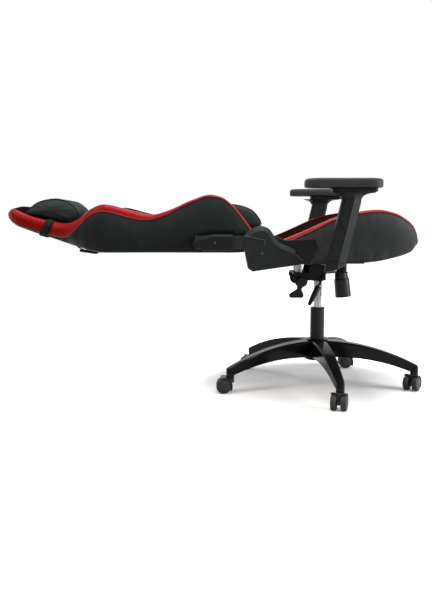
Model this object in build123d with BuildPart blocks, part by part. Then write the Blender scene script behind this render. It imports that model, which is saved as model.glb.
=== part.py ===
"""Racing-style office chair with its backrest folded flat.

Millimetres. The origin lies on the floor under the gas lift, +X is the way the
sitter faces, +Y the sitter's left and +Z up.
"""
import os
from math import asin, cos, radians, sin, tan

from build123d import *

# Fits
RUN = 0.05
GAP = 0.3
STEEL = 5.0

# Star base
ARM_COUNT = 5
FIRST_ARM = -13.75
STEM_CIRCLE = 333.0
TIP_TOP = 84.0
TIP_BOTTOM = 50.4
TIP_RADIUS = 13.5
HUB_TOP = 165.0
HUB_BOTTOM = 92.0
HUB_RADIUS = 41.0
ARM_ROOT_TOP = 160.0
ARM_ROOT_BOTTOM = 97.0
ARM_ROOT_WIDTH = 56.0
ARM_TIP_WIDTH = 27.0
ARM_TIP_DEPTH = 24.0
ARM_ARCH = 22.0
ARM_WALL = 4.0
ARM_BEVEL = 5.0
ARM_RIBS = 3
RIB_WIDTH = 3.0

# Casters
STEM_RADIUS = 5.5
STEM_LENGTH = 26.0
SOCKET_WALL = 2.0
WHEEL_RADIUS = 25.0
WHEEL_WIDTH = 18.0
WHEEL_SPREAD = 31.0
WHEEL_ROUND = 4.0
WHEEL_DOME = 1.6
CASTER_TRAIL = 22.0
AXLE_RADIUS = 4.0
HOOD_TOP = 50.0
HOOD_WALL = 3.0
HOOD_GAP = 2.0
WEB_GAP = 1.0
HOOD_NECK = 13.0
HOOD_NECK_HEIGHT = 14.0
HOOD_FROM = 70.0
HOOD_TO = 212.0
CASTER_TURNS = [-125.0, 180.0, 180.0, 180.0, -108.0]

# Gas lift
TUBE_RADIUS = 25.0
TUBE_WALL = 2.5
TUBE_FOOT = 23.4
TUBE_TOP = 275.0
TUBE_BOTTOM = 94.0
BUSH_LENGTH = 58.0
LIFT_RADIUS = 14.0
LIFT_WALL = 3.0
LIFT_SHOWN = 107.0
LIFT_INSIDE = 79.0
LIFT_TAPER = 1.2
GLAND = 12.0
ROD_RADIUS = 5.0
ROD_SHORT = 13.0
FOOT_RADIUS = 14.0
FOOT_HEIGHT = 8.0
LIFT_BOTTOM = TUBE_TOP - LIFT_INSIDE
ROD_TOP = TUBE_TOP - ROD_SHORT

# Tilt mechanism, its heights taken from the tilt pivot
PIVOT_Z = TUBE_TOP + LIFT_SHOWN
TAPER_RISE = 4.0
BOSS_RADIUS = 20.0
BOSS_DROP = 14.0
BOSS_RISE = 8.5
TRUNNION_RADIUS = 7.0
TRUNNION_REACH = 54.0
LUG_THICK = 8.0
PLATE_RISE = 15.0
PLATE_THICK = 3.0
PLATE_REAR = -94.0
PLATE_WAIST = 15.0
PLATE_FRONT = 98.0
PLATE_EAR = 36.0
EAR_HALF = 40.0
PLATE_HALF = 80.0
TONGUE_HALF = 28.0
FLANGE_DEEP = 22.0
FLANGE_ROUND = 11.0
CHEEK_REAR = -44.0
CHEEK_FRONT = 14.0
CHEEK_SLANT = 8.0
LOBE_X = -68.0
LOBE_DROP = 2.0
LOBE_RADIUS = 22.0
LIFT_TOP = PIVOT_Z + TAPER_RISE
BOSS_BOTTOM = PIVOT_Z - BOSS_DROP
BOSS_TOP = PIVOT_Z + BOSS_RISE
PLATE_BOTTOM = PIVOT_Z + PLATE_RISE
FLANGE_BOTTOM = PLATE_BOTTOM - FLANGE_DEEP
LOBE_Z = FLANGE_BOTTOM - LOBE_DROP
BOLT_REAR = -71.0
BOLT_FRONT = 82.0
BOLT_HALF = 30.0
BOLT_RADIUS = 4.0
SPACER_RADIUS = 12.0

# Tension knob, on an axis that leans forward on its way down
KNOB_X = 80.0
KNOB_LEAN = 6.5
CUP_RADIUS = 21.5
CUP_DEPTH = 22.0
CUP_TAPER = 5.0
KNOB_TOP_RADIUS = 26.0
KNOB_RADIUS = 27.5
KNOB_HEIGHT = 64.0
KNOB_FLUTES = 10
FLUTE_RADIUS = 2.2
BOLT_CORE = 5.0

# Levers, on the sitter's right
LEVER_SHAFT = 5.0
HEIGHT_X = 4.0
HEIGHT_DROP = 10.0
HEIGHT_Z = PLATE_BOTTOM - HEIGHT_DROP
HEIGHT_ROD = 3.5
ROD_BACK = 15.0
ROD_FALL = 31.0
GRIP_BACK = 46.0
GRIP_FALL = 95.0
HEIGHT_ROD_END = (HEIGHT_X - ROD_BACK, HEIGHT_Z - ROD_FALL)
GRIP_END = (HEIGHT_X - GRIP_BACK, HEIGHT_Z - GRIP_FALL)
GRIP_WIDTH = 17.0
GRIP_THICK = 22.0
GRIP_SWELL = 1.2
TILT_STEM = 15.0
TILT_ROUND = 3.0
TILT_SHAPE = [
    (-13, -8), (-15.5, -27), (-41, -43), (-41, -52), (-36, -56), (2, -56), (7, -52), (7, -43), (-0.5, -27), (12, -8),
]
LEVER_THICK = 13.0

# Seat
SEAT_HALF = 255.0
SPACER_HEIGHT = 40.0
SEAT_BOTTOM = PLATE_BOTTOM + PLATE_THICK + SPACER_HEIGHT
# Each cross-section: X, tuck of the side, then underside, bolster ridge and floor above the seat's bottom
SEAT_SHAPE = [
    (-157, 15, 0, 72, 28), (-96, 5, 0, 97, 40), (-34, 0, 0, 125, 62), (21, 0, 0, 148, 82),
    (83, 0, 0, 163, 104), (150, 0, 5, 170, 124), (206, 1, 17, 158, 130), (240, 6, 28, 140, 124),
    (262, 14, 39, 123, 114), (275, 26, 53, 104, 100), (281, 44, 68, 84, 83),
]
SEAT_STATIONS = [
    (x, SEAT_HALF - tuck, SEAT_BOTTOM + under, SEAT_BOTTOM + ridge, SEAT_BOTTOM + floor)
    for x, tuck, under, ridge, floor in SEAT_SHAPE
]
BASE_SHARE = 0.9
FLANK_SHARE = 0.5
SHOULDER_SHARE = 0.965
RIDGE_SHARE = 0.91
LIP_SHARE = 0.84
FLOOR_SHARE = 0.6
RIDGE_ROUND = 0.1
CROWN = 4.0
FRAME_TUBE = 14.0
FRAME_WALL = 2.5
FRAME_RAIL = 26.0
FRAME_HALF = 226.0
FRAME_REAR = -148.0
FRAME_FRONT = 112.0
EAR_X = -110.0
EAR_LENGTH = 60.0

# Recline hinge, its shapes drawn from the hinge pin
HINGE_X = -218.0
HINGE_RISE = 67.0
HINGE_Z = SEAT_BOTTOM + HINGE_RISE
HINGE_PIN = 9.0
HINGE_HEAD = 36.0
PLATE_SHAPE = [(-143, 76), (-45, 81), (-36, 58), (-60, 0), (-205, 0)]
HINGE_PLATE = [(x, SEAT_BOTTOM + rise) for x, rise in PLATE_SHAPE]
COVER_DEEP = 19.0
COVER_WALL = 2.5
COVER_BEVEL = 4.0
COVER_SHAPE = [
    (-38, 34), (-51, 22), (-51, -25), (-40, -79), (-25, -89), (119, -68), (133, -54), (119, -41),
    (90, -13), (63, -2), (36, 24),
]
COVER_EDGE = [(HINGE_X + x, HINGE_Z + z) for x, z in COVER_SHAPE]
COVER_PEAK_X = 2.0
COVER_PEAK_RISE = 52.0
COVER_PEAK = (HINGE_X + COVER_PEAK_X, HINGE_Z + COVER_PEAK_RISE)
COVER_PAD_X = 64.5
COVER_PAD_DROP = 49.0
COVER_PAD_LENGTH = 83.0
COVER_PAD_HEIGHT = 24.0

# Backrest, lying flat; its cross-sections as the seat's, but drawn from the hinge pin
BACK_HALF = SEAT_HALF + STEEL
BACK_SHAPE = [
    (-24, 20, -7, 38, 31), (-44, 13, -28, 62, 39), (-87, 0, -29, 112, 48), (-122, 0, -29, 141, 51),
    (-156, 0, -29, 151, 53), (-212, 0, -29, 134, 52), (-282, 6, -29, 103, 46), (-338, 10, -29, 88, 42),
    (-402, 3, -29, 101, 41), (-488, -8, -29, 120, 44), (-532, 4, -24, 104, 46), (-582, 40, -12, 70, 50),
    (-622, 76, -2, 60, 54), (-682, 102, 16, 71, 57), (-742, 110, 36, 100, 75), (-787, 120, 56, 115, 99),
    (-812, 136, 70, 110, 100), (-820, 152, 80, 102, 96),
]
BACK_STATIONS = [
    (HINGE_X + x, BACK_HALF - tuck, HINGE_Z + under, HINGE_Z + ridge, HINGE_Z + floor)
    for x, tuck, under, ridge, floor in BACK_SHAPE
]
RAIL_Y = 205.0
RAIL_SIZE = 20.0
RAIL_Z = HINGE_Z
RAIL_SET = 72.0
RAIL_LENGTH = 440.0
RAIL_FRONT = HINGE_X - RAIL_SET
RAIL_REAR = RAIL_FRONT - RAIL_LENGTH
BOSS_SET = 40.0
BOSS_PITCH = 70.0
BOSS_FRONT = RAIL_FRONT - BOSS_SET
BOSS_REAR = BOSS_FRONT - BOSS_PITCH
BACK_ARM_WIDTH = 42.0
BACK_ARM_LENGTH = 202.0
BACK_ARM_END = HINGE_X - BACK_ARM_LENGTH
BACK_COVER_SHAPE = [(-86, -24), (-86, 26), (-153, 26), (-202, 13), (-209, 1), (-207, -10), (-179, -24)]
BACK_COVER_DEEP = 9.0

# Pillows and straps
PILLOW_ROUND = 30.0
PILLOW_BASE = 0.75
PILLOW_FACE = 0.62
LUMBAR_SIZE = (200.0, 300.0, 66.0)
LUMBAR_BACK = 81.0
LUMBAR_RISE = 84.7
LUMBAR_PLACE = (HINGE_X - LUMBAR_BACK, HINGE_Z + LUMBAR_RISE)
LUMBAR_PITCH = 6.0
HEAD_SIZE = (180.0, 236.0, 64.0)
HEAD_BACK = 680.0
HEAD_RISE = 104.1
HEAD_PLACE = (HINGE_X - HEAD_BACK, HINGE_Z + HEAD_RISE)
HEAD_PITCH = 12.5
STRAP_THICK = 2.0
STRAP_WIDTH = 24.0
HEAD_STRAP_X = HEAD_PLACE[0] - STRAP_WIDTH / 4
STRAP_REACH = 112.0
LUMBAR_STRAP_RISE = 13.8
BUCKLE_SET = 534.0
BUCKLE_LENGTH = 54.0
BUCKLE_HALF = 20.0
BUCKLE_THICK = 8.0

# Armrests
BRACKET_THICK = 6.0
POST_OUT = 67.0
POST_RISE = 226.3
POST_Y = SEAT_HALF + POST_OUT
POST_FOOT = (3.0, SEAT_BOTTOM - GAP - BRACKET_THICK)
POST_LEAN = 13.0
POST_SEAM = 18.0
BOOT_DROP = 16.0
BOOT_FALL = 11.2
BOOT_BOTTOM = POST_FOOT[1] - BOOT_FALL
BOOT_NOSE = 7.0
BOOT_SLOPE = 25.0
POST_TOP = POST_FOOT[1] + POST_RISE
POST_HALF = 29.0
POST_THICK = 40.0
POST_RIDGE = 4.0
POST_CORNER = 8.0
CORE_WIDTH = 30.0
CORE_THICK = 16.0
CORE_LENGTH = 150.0
CORE_FIT = 0.1
BRACKET_WIDTH = 34.0
BRACKET_REACH = 120.0
HEAD_LENGTH = 134.0
HEAD_WIDTH = 62.0
HEAD_DEEP = 12.0
HEAD_X = 56.0
FLARE_DROP = 30.0
SLIDER_HEIGHT = 11.0
KEY_WIDTH = 16.0
KEY_LENGTH = 40.0
KEY_DEEP = 6.0
SLIDE_TRAVEL = 25.0
PAD_X = 24.0
PAD_LENGTH = 232.0
PAD_WIDTH = 95.0
PAD_HEIGHT = 28.0
PAD_CROWN = 3.0
PAD_ROUND = 34.0
PAD_EDGE = 7.0
PAD_PIN = 8.0
PAD_PIN_HEIGHT = 12.0
PAD_SWIVEL_X = 56.0
LEFT_PAD_TOE = -10.0
LEFT_PAD_SLIDE = 25.0
BUTTON_SIZE = (14.0, 20.0)
BUTTON_UP = 132.0
BUTTON_DEEP = 9.0
BUTTON_PROUD = 2.5
PAD_BUTTON = (24.0, 30.0, 5.0)

# Recline lever, on the sitter's left
RECLINE_REACH = 150.0
RECLINE_BAR = 20.0
RECLINE_STUB = 4.5
RECLINE_GRIP = 62.0
RECLINE_GRIP_SIZE = 26.0
RECLINE_GRIP_THICK = 12.0

os.makedirs("parts", exist_ok=True)


def save(piece, name):
    """Label one finished piece and write it under its own name."""
    piece.label = name
    export_step(piece, f"parts/{name}.step")


def mirrored(piece):
    """The sitter's left-hand twin of a right-hand piece."""
    return mirror(piece, about=Plane.XZ, mode=Mode.PRIVATE)


# Star base: one arched arm with its hollow underside
ARM_REACH = STEM_CIRCLE - TIP_RADIUS / 2


def arm_outline(drop, lift, start, end):
    """Side view of an arm, its top lowered by drop and its underside moved by lift."""
    middle = (start + end) / 2
    tip_bottom = TIP_TOP - ARM_TIP_DEPTH + lift
    top_middle = (ARM_ROOT_TOP + TIP_TOP) / 2 + ARM_ARCH - drop
    low_middle = (ARM_ROOT_BOTTOM + TIP_TOP - ARM_TIP_DEPTH) / 2 + ARM_ARCH + lift
    with BuildSketch(Plane.XZ) as view:
        with BuildLine():
            ThreePointArc((start, ARM_ROOT_TOP - drop), (middle, top_middle), (end, TIP_TOP - drop))
            Line((end, TIP_TOP - drop), (end, tip_bottom))
            ThreePointArc((end, tip_bottom), (middle, low_middle), (start, ARM_ROOT_BOTTOM + lift))
            Line((start, ARM_ROOT_BOTTOM + lift), (start, ARM_ROOT_TOP - drop))
        make_face()
    return view.sketch


def arm_plan(inset, start, end):
    """Plan view of an arm, tapering to its tip, each side moved in by inset."""
    root = ARM_ROOT_WIDTH / 2 - inset
    tip = ARM_TIP_WIDTH / 2 - inset
    with BuildSketch() as view:
        with BuildLine():
            Polyline((start, -root), (end, -tip), (end, tip), (start, root), close=True)
        make_face()
    return view.sketch


with BuildPart() as arm_hollow:
    hollow_end = STEM_CIRCLE - TIP_RADIUS
    extrude(arm_outline(ARM_WALL, -ARM_ROOT_BOTTOM, HUB_RADIUS, hollow_end), ARM_ROOT_WIDTH, both=True)
    extrude(arm_plan(ARM_WALL, HUB_RADIUS, hollow_end), HUB_TOP, both=True, mode=Mode.INTERSECT)
    rib_pitch = (STEM_CIRCLE - HUB_RADIUS) / (ARM_RIBS + 1)
    with Locations(*[(HUB_RADIUS + rib_pitch * (i + 1), 0, HUB_TOP / 2) for i in range(ARM_RIBS)]):
        Box(RIB_WIDTH, ARM_ROOT_WIDTH, HUB_TOP * 2, mode=Mode.SUBTRACT)

with BuildPart() as arm:
    extrude(arm_outline(0, 0, 0, ARM_REACH), ARM_ROOT_WIDTH, both=True)
    extrude(arm_plan(0, 0, ARM_REACH), HUB_TOP, mode=Mode.INTERSECT)
    long_edges = arm.faces().sort_by(Axis.Z)[-1].edges().filter_by(lambda e: e.length > STEM_CIRCLE / 2)
    chamfer(long_edges, ARM_BEVEL)
    with Locations((STEM_CIRCLE, 0, TIP_BOTTOM)):
        Cylinder(TIP_RADIUS, TIP_TOP - ARM_BEVEL - TIP_BOTTOM, align=(Align.CENTER, Align.CENTER, Align.MIN))
    with Locations((STEM_CIRCLE, 0, TIP_TOP)):
        Cone(TIP_RADIUS, TIP_RADIUS - ARM_BEVEL, ARM_BEVEL, align=(Align.CENTER, Align.CENTER, Align.MAX))
    add(arm_hollow.part, mode=Mode.SUBTRACT)

SOCKET_RADIUS = STEM_RADIUS + SOCKET_WALL
SOCKET_TOP = HOOD_TOP + STEM_LENGTH + GAP

with BuildPart() as star_base:
    with BuildSketch():
        Circle(HUB_RADIUS)
    extrude(amount=HUB_TOP)
    split(bisect_by=Plane.XY.offset(HUB_BOTTOM), keep=Keep.TOP)
    with PolarLocations(0, ARM_COUNT, start_angle=FIRST_ARM):
        add(arm.part)
    with BuildSketch(Plane.XZ):
        with BuildLine():
            Polyline(
                (0, HUB_BOTTOM), (TUBE_FOOT + RUN, HUB_BOTTOM), (TUBE_RADIUS + RUN, HUB_TOP), (0, HUB_TOP),
                close=True,
            )
        make_face()
    revolve(axis=Axis.Z, mode=Mode.SUBTRACT)
    with PolarLocations(STEM_CIRCLE, ARM_COUNT, start_angle=FIRST_ARM):
        with Locations((0, 0, TIP_BOTTOM)):
            Cylinder(
                SOCKET_RADIUS + RUN, SOCKET_TOP - TIP_BOTTOM,
                align=(Align.CENTER, Align.CENTER, Align.MIN), mode=Mode.SUBTRACT,
            )
save(star_base.part, "star_base")

# Steel sockets pressed into the arm tips
with BuildPart() as stem_sockets:
    with BuildSketch(Plane.XY.offset(TIP_BOTTOM)):
        with PolarLocations(STEM_CIRCLE, ARM_COUNT, start_angle=FIRST_ARM):
            Circle(SOCKET_RADIUS)
            Circle(STEM_RADIUS + RUN, mode=Mode.SUBTRACT)
    extrude(amount=SOCKET_TOP - TIP_BOTTOM)
save(stem_sockets.part, "stem_sockets")

# Gas lift: the column, its guide bush, the rod and the chrome cylinder
SLOPE = (TUBE_RADIUS - TUBE_FOOT) / (HUB_TOP - HUB_BOTTOM)
BUSH_RADIUS = TUBE_RADIUS - TUBE_WALL

with BuildPart() as gas_tube:
    with BuildSketch(Plane.XZ):
        with BuildLine():
            Polyline(
                (ROD_RADIUS + RUN, TUBE_BOTTOM), (TUBE_FOOT + SLOPE * (TUBE_BOTTOM - HUB_BOTTOM), TUBE_BOTTOM),
                (TUBE_RADIUS, HUB_TOP), (TUBE_RADIUS, TUBE_TOP), (BUSH_RADIUS, TUBE_TOP),
                (BUSH_RADIUS, HUB_TOP), (TUBE_FOOT - TUBE_WALL, TUBE_BOTTOM + STEEL),
                (ROD_RADIUS + RUN, TUBE_BOTTOM + STEEL), close=True,
            )
        make_face()
    revolve(axis=Axis.Z)
save(gas_tube.part, "gas_tube")

with BuildPart() as tube_bush:
    with BuildSketch(Plane.XY.offset(TUBE_TOP - BUSH_LENGTH)):
        Circle(BUSH_RADIUS - RUN)
        Circle(LIFT_RADIUS + RUN, mode=Mode.SUBTRACT)
    extrude(amount=BUSH_LENGTH)
save(tube_bush.part, "tube_bush")

with BuildPart() as piston_rod:
    with BuildSketch(Plane.XY.offset(HUB_BOTTOM)):
        Circle(ROD_RADIUS)
    extrude(amount=ROD_TOP - HUB_BOTTOM)
    with BuildSketch(Plane.XY.offset(TUBE_BOTTOM + STEEL)):
        Circle(FOOT_RADIUS)
    extrude(amount=FOOT_HEIGHT)
save(piston_rod.part, "piston_rod")

with BuildPart() as gas_cylinder:
    with BuildSketch(Plane.XZ):
        with BuildLine():
            Polyline(
                (ROD_RADIUS + RUN, LIFT_BOTTOM), (LIFT_RADIUS, LIFT_BOTTOM), (LIFT_RADIUS, BOSS_BOTTOM),
                (LIFT_RADIUS - LIFT_TAPER, LIFT_TOP), (0, LIFT_TOP), (0, LIFT_TOP - GLAND),
                (LIFT_RADIUS - LIFT_WALL, LIFT_TOP - GLAND), (LIFT_RADIUS - LIFT_WALL, LIFT_BOTTOM + GLAND),
                (ROD_RADIUS + RUN, LIFT_BOTTOM + GLAND), close=True,
            )
        make_face()
    revolve(axis=Axis.Z)
save(gas_cylinder.part, "gas_cylinder")

# Twin-wheel casters, drawn with the stem on the origin and trailing along +X
HOOD_RADIUS = WHEEL_RADIUS + HOOD_GAP
HOOD_HALF = WHEEL_SPREAD / 2 + WHEEL_WIDTH / 2
WEB_HALF = WHEEL_SPREAD / 2 - WHEEL_WIDTH / 2 - WEB_GAP
AXLE_HALF = WHEEL_SPREAD / 2 + WHEEL_WIDTH / 4


def hood_sector(inner):
    """Side view of the fender: a band round the wheel from the front to behind it."""
    outer = HOOD_RADIUS + HOOD_WALL
    centre = (CASTER_TRAIL, WHEEL_RADIUS)

    def spot(radius, angle):
        return (centre[0] + radius * cos(radians(angle)), centre[1] + radius * sin(radians(angle)))

    middle = (HOOD_FROM + HOOD_TO) / 2
    with BuildSketch(Plane.XZ) as view:
        with BuildLine():
            ThreePointArc(spot(outer, HOOD_FROM), spot(outer, middle), spot(outer, HOOD_TO))
            Line(spot(outer, HOOD_TO), spot(inner, HOOD_TO))
            ThreePointArc(spot(inner, HOOD_TO), spot(inner, middle), spot(inner, HOOD_FROM))
            Line(spot(inner, HOOD_FROM), spot(outer, HOOD_FROM))
        make_face()
    return view.sketch


with BuildPart() as caster_hood:
    with BuildSketch(Plane.XY.offset(HOOD_TOP)):
        Circle(HOOD_NECK)
    extrude(amount=-HOOD_NECK_HEIGHT)
    with BuildSketch(Plane.XZ):
        with Locations((CASTER_TRAIL, WHEEL_RADIUS)):
            Circle(HOOD_RADIUS)
    extrude(amount=HOOD_HALF, both=True, mode=Mode.SUBTRACT)
    extrude(hood_sector(HOOD_RADIUS), HOOD_HALF, both=True)
    extrude(hood_sector(AXLE_RADIUS / 2), WEB_HALF, both=True)
    with BuildSketch(Plane.XZ):
        with Locations((CASTER_TRAIL, WHEEL_RADIUS)):
            Circle(AXLE_RADIUS * 2)
    extrude(amount=WEB_HALF, both=True)
    with BuildSketch(Plane.XY.offset(HOOD_TOP)):
        Circle(TIP_RADIUS + HOOD_GAP)
    extrude(amount=STEM_LENGTH, mode=Mode.SUBTRACT)
    with BuildSketch(Plane.XY.offset(HOOD_TOP)):
        Circle(STEM_RADIUS)
    extrude(amount=STEM_LENGTH)
    with BuildSketch(Plane.XZ):
        with Locations((CASTER_TRAIL, WHEEL_RADIUS)):
            Circle(AXLE_RADIUS)
    extrude(amount=AXLE_HALF, both=True)

with BuildPart() as wheel:
    inner = WHEEL_SPREAD / 2 - WHEEL_WIDTH / 2
    outer = inner + WHEEL_WIDTH
    bore = AXLE_RADIUS + RUN
    shoulder = WHEEL_RADIUS - WHEEL_ROUND
    bulge = WHEEL_ROUND * (1 - sin(radians(45)))
    dome_radius = (shoulder**2 + WHEEL_DOME**2) / (2 * WHEEL_DOME)
    half_dome = asin(shoulder / dome_radius) / 2
    dome_drop = dome_radius * (1 - cos(half_dome))
    dome_middle = (dome_radius * sin(half_dome), outer + WHEEL_DOME - dome_drop)
    with BuildSketch():
        with BuildLine():
            Line((bore, inner), (shoulder, inner))
            ThreePointArc(
                (shoulder, inner), (WHEEL_RADIUS - bulge, inner + bulge), (WHEEL_RADIUS, inner + WHEEL_ROUND)
            )
            Line((WHEEL_RADIUS, inner + WHEEL_ROUND), (WHEEL_RADIUS, outer - WHEEL_ROUND))
            ThreePointArc(
                (WHEEL_RADIUS, outer - WHEEL_ROUND), (WHEEL_RADIUS - bulge, outer - bulge), (shoulder, outer)
            )
            ThreePointArc((shoulder, outer), dome_middle, (0, outer + WHEEL_DOME))
            Line((0, outer + WHEEL_DOME), (0, AXLE_HALF + GAP))
            Line((0, AXLE_HALF + GAP), (bore, AXLE_HALF + GAP))
            Line((bore, AXLE_HALF + GAP), (bore, inner))
        make_face()
    revolve(axis=Axis.Y)

wheel_place = Location((CASTER_TRAIL, 0, WHEEL_RADIUS))
left_wheel = wheel.part.moved(wheel_place)
right_wheel = mirrored(wheel.part).moved(wheel_place)
for index, turn in enumerate(CASTER_TURNS):
    bearing = radians(FIRST_ARM + index * 360 / ARM_COUNT)
    stem = Location((STEM_CIRCLE * cos(bearing), STEM_CIRCLE * sin(bearing), 0), (0, 0, turn))
    save(caster_hood.part.moved(stem), f"caster_hood_{index + 1}")
    save(left_wheel.moved(stem), f"wheel_{index + 1}_left")
    save(right_wheel.moved(stem), f"wheel_{index + 1}_right")

# Swivel bracket: the taper socket on the lift, with a trunnion to each side
with BuildPart() as swivel_bracket:
    with BuildSketch(Plane.XY.offset(BOSS_BOTTOM)):
        Circle(BOSS_RADIUS)
    extrude(amount=BOSS_TOP - BOSS_BOTTOM)
    with BuildSketch(Plane.XZ):
        with Locations((0, PIVOT_Z)):
            Circle(TRUNNION_RADIUS)
    extrude(amount=TRUNNION_REACH, both=True)
    taper_out = LIFT_TAPER * (BOSS_TOP - BOSS_BOTTOM) / (LIFT_TOP - BOSS_BOTTOM)
    with BuildSketch(Plane.XZ):
        with BuildLine():
            Polyline(
                (0, BOSS_BOTTOM), (LIFT_RADIUS + RUN, BOSS_BOTTOM), (LIFT_RADIUS + RUN - taper_out, BOSS_TOP),
                (0, BOSS_TOP), close=True,
            )
        make_face()
    revolve(axis=Axis.Z, mode=Mode.SUBTRACT)
save(swivel_bracket.part, "swivel_bracket")

# Tilt plate: pressed plate with side flanges, lever lobes and two bearing lugs
PLATE_TOP = PLATE_BOTTOM + PLATE_THICK
LUG_OUT = TRUNNION_REACH - GAP
CUP_TOP = Plane(
    origin=(KNOB_X, 0, PLATE_BOTTOM),
    x_dir=(cos(radians(KNOB_LEAN)), 0, sin(radians(KNOB_LEAN))),
    z_dir=(sin(radians(KNOB_LEAN)), 0, -cos(radians(KNOB_LEAN))),
)

with BuildPart() as tilt_plate:
    with BuildSketch(Plane.XY.offset(PLATE_BOTTOM)):
        with BuildLine():
            Polyline(
                (PLATE_REAR, 0), (PLATE_REAR, PLATE_HALF), (PLATE_WAIST, PLATE_HALF),
                (PLATE_WAIST + PLATE_HALF - TONGUE_HALF, TONGUE_HALF), (PLATE_FRONT - PLATE_EAR, TONGUE_HALF),
                (PLATE_FRONT - PLATE_EAR, EAR_HALF), (PLATE_FRONT, EAR_HALF), (PLATE_FRONT, 0), close=True,
            )
        make_face()
        mirror(about=Plane.XZ)
    extrude(amount=PLATE_THICK)
    with BuildSketch(Plane.XZ.offset(PLATE_HALF)):
        with BuildLine():
            Polyline(
                (PLATE_REAR, FLANGE_BOTTOM), (PLATE_REAR, PLATE_TOP), (PLATE_WAIST, PLATE_TOP),
                (PLATE_WAIST, FLANGE_BOTTOM), close=True,
            )
        make_face()
        fillet(vertices().group_by(Axis.X)[0], FLANGE_ROUND)
        with Locations((LOBE_X, LOBE_Z)):
            Circle(LOBE_RADIUS)
            Circle(LEVER_SHAFT + RUN, mode=Mode.SUBTRACT)
        with Locations((HEIGHT_X, HEIGHT_Z)):
            Circle(LEVER_SHAFT + RUN, mode=Mode.SUBTRACT)
    extrude(amount=-PLATE_THICK)
    with BuildSketch(Plane.XZ.offset(PLATE_HALF)):
        with BuildLine():
            Polyline(
                (CHEEK_REAR, PLATE_TOP), (CHEEK_REAR + CHEEK_SLANT, SEAT_BOTTOM - 2 * GAP),
                (CHEEK_FRONT, SEAT_BOTTOM - 2 * GAP), (CHEEK_FRONT, PLATE_TOP), close=True,
            )
        make_face()
    extrude(amount=-PLATE_THICK)
    mirror(about=Plane.XZ)
    with BuildSketch(Plane.XZ.offset(LUG_OUT)):
        with Locations((0, (PIVOT_Z + PLATE_BOTTOM) / 2)):
            Rectangle(TRUNNION_RADIUS * 4, PLATE_BOTTOM - PIVOT_Z)
        with Locations((0, PIVOT_Z)):
            Circle(TRUNNION_RADIUS * 2)
            Circle(TRUNNION_RADIUS + RUN, mode=Mode.SUBTRACT)
    lug = extrude(amount=-LUG_THICK)
    mirror(lug, about=Plane.XZ)
    with Locations(*[(x, y, PLATE_BOTTOM) for x in (BOLT_REAR, BOLT_FRONT) for y in (-BOLT_HALF, BOLT_HALF)]):
        Cylinder(BOLT_RADIUS + RUN, PLATE_HALF, mode=Mode.SUBTRACT)
    with BuildSketch(CUP_TOP.offset(-PLATE_HALF / 2)):
        Circle(BOLT_CORE + RUN)
    extrude(amount=PLATE_HALF, mode=Mode.SUBTRACT)
save(tilt_plate.part, "tilt_plate")

# Spring cup under the plate, and the fluted knob that tightens the spring in it
with BuildPart() as spring_cup:
    with BuildSketch(CUP_TOP):
        Circle(CUP_RADIUS)
    extrude(amount=CUP_DEPTH, taper=-CUP_TAPER)
    with BuildSketch(CUP_TOP):
        Circle(BOLT_CORE + RUN)
    extrude(amount=CUP_DEPTH, mode=Mode.SUBTRACT)
    split(bisect_by=Plane.XY.offset(PLATE_BOTTOM), keep=Keep.BOTTOM)
save(spring_cup.part, "spring_cup")

with BuildPart() as tension_knob:
    with BuildSketch(CUP_TOP.offset(CUP_DEPTH + GAP)):
        Circle(KNOB_TOP_RADIUS)
    with BuildSketch(CUP_TOP.offset(CUP_DEPTH + GAP + KNOB_HEIGHT)):
        Circle(KNOB_RADIUS)
    loft()
    fillet(tension_knob.edges().filter_by(GeomType.CIRCLE), FLUTE_RADIUS)
    with BuildSketch(CUP_TOP.offset(CUP_DEPTH + GAP + KNOB_HEIGHT / 4)):
        with PolarLocations(KNOB_RADIUS, KNOB_FLUTES):
            Circle(FLUTE_RADIUS)
    extrude(amount=KNOB_HEIGHT, mode=Mode.SUBTRACT)
    with BuildSketch(CUP_TOP.offset(CUP_DEPTH + GAP)):
        Circle(BOLT_CORE)
    extrude(amount=-CUP_DEPTH)
save(tension_knob.part, "tension_knob")

# Height lever: a cranked rod with a flat grip, turning in the right-hand flange
LEVER_Y = PLATE_HALF + GAP
LEVER_PLANE = Plane.XZ.offset(LEVER_Y)
rod_y = -(LEVER_Y + LEVER_THICK / 2)
rod_run = Vector(HEIGHT_ROD_END[0] - HEIGHT_X, 0, HEIGHT_ROD_END[1] - HEIGHT_Z)
grip_run = Vector(GRIP_END[0] - HEIGHT_ROD_END[0], 0, GRIP_END[1] - HEIGHT_ROD_END[1])
grip_start = Vector(HEIGHT_ROD_END[0], rod_y, HEIGHT_ROD_END[1])

with BuildPart() as height_lever:
    with BuildSketch(Plane.XZ.offset(PLATE_HALF - LEVER_THICK)):
        with Locations((HEIGHT_X, HEIGHT_Z)):
            Circle(LEVER_SHAFT)
    extrude(amount=LEVER_THICK * 2 + GAP)
    with BuildSketch(Plane(origin=(HEIGHT_X, rod_y, HEIGHT_Z), x_dir=(0, 1, 0), z_dir=rod_run)):
        Circle(HEIGHT_ROD)
    extrude(amount=rod_run.length)
    with Locations(grip_start):
        Sphere(HEIGHT_ROD)
    with BuildSketch(Plane(origin=grip_start, x_dir=(0, 1, 0), z_dir=grip_run)):
        Circle(HEIGHT_ROD)
    extrude(amount=grip_run.length / 2)
save(height_lever.part, "height_lever")

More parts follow.
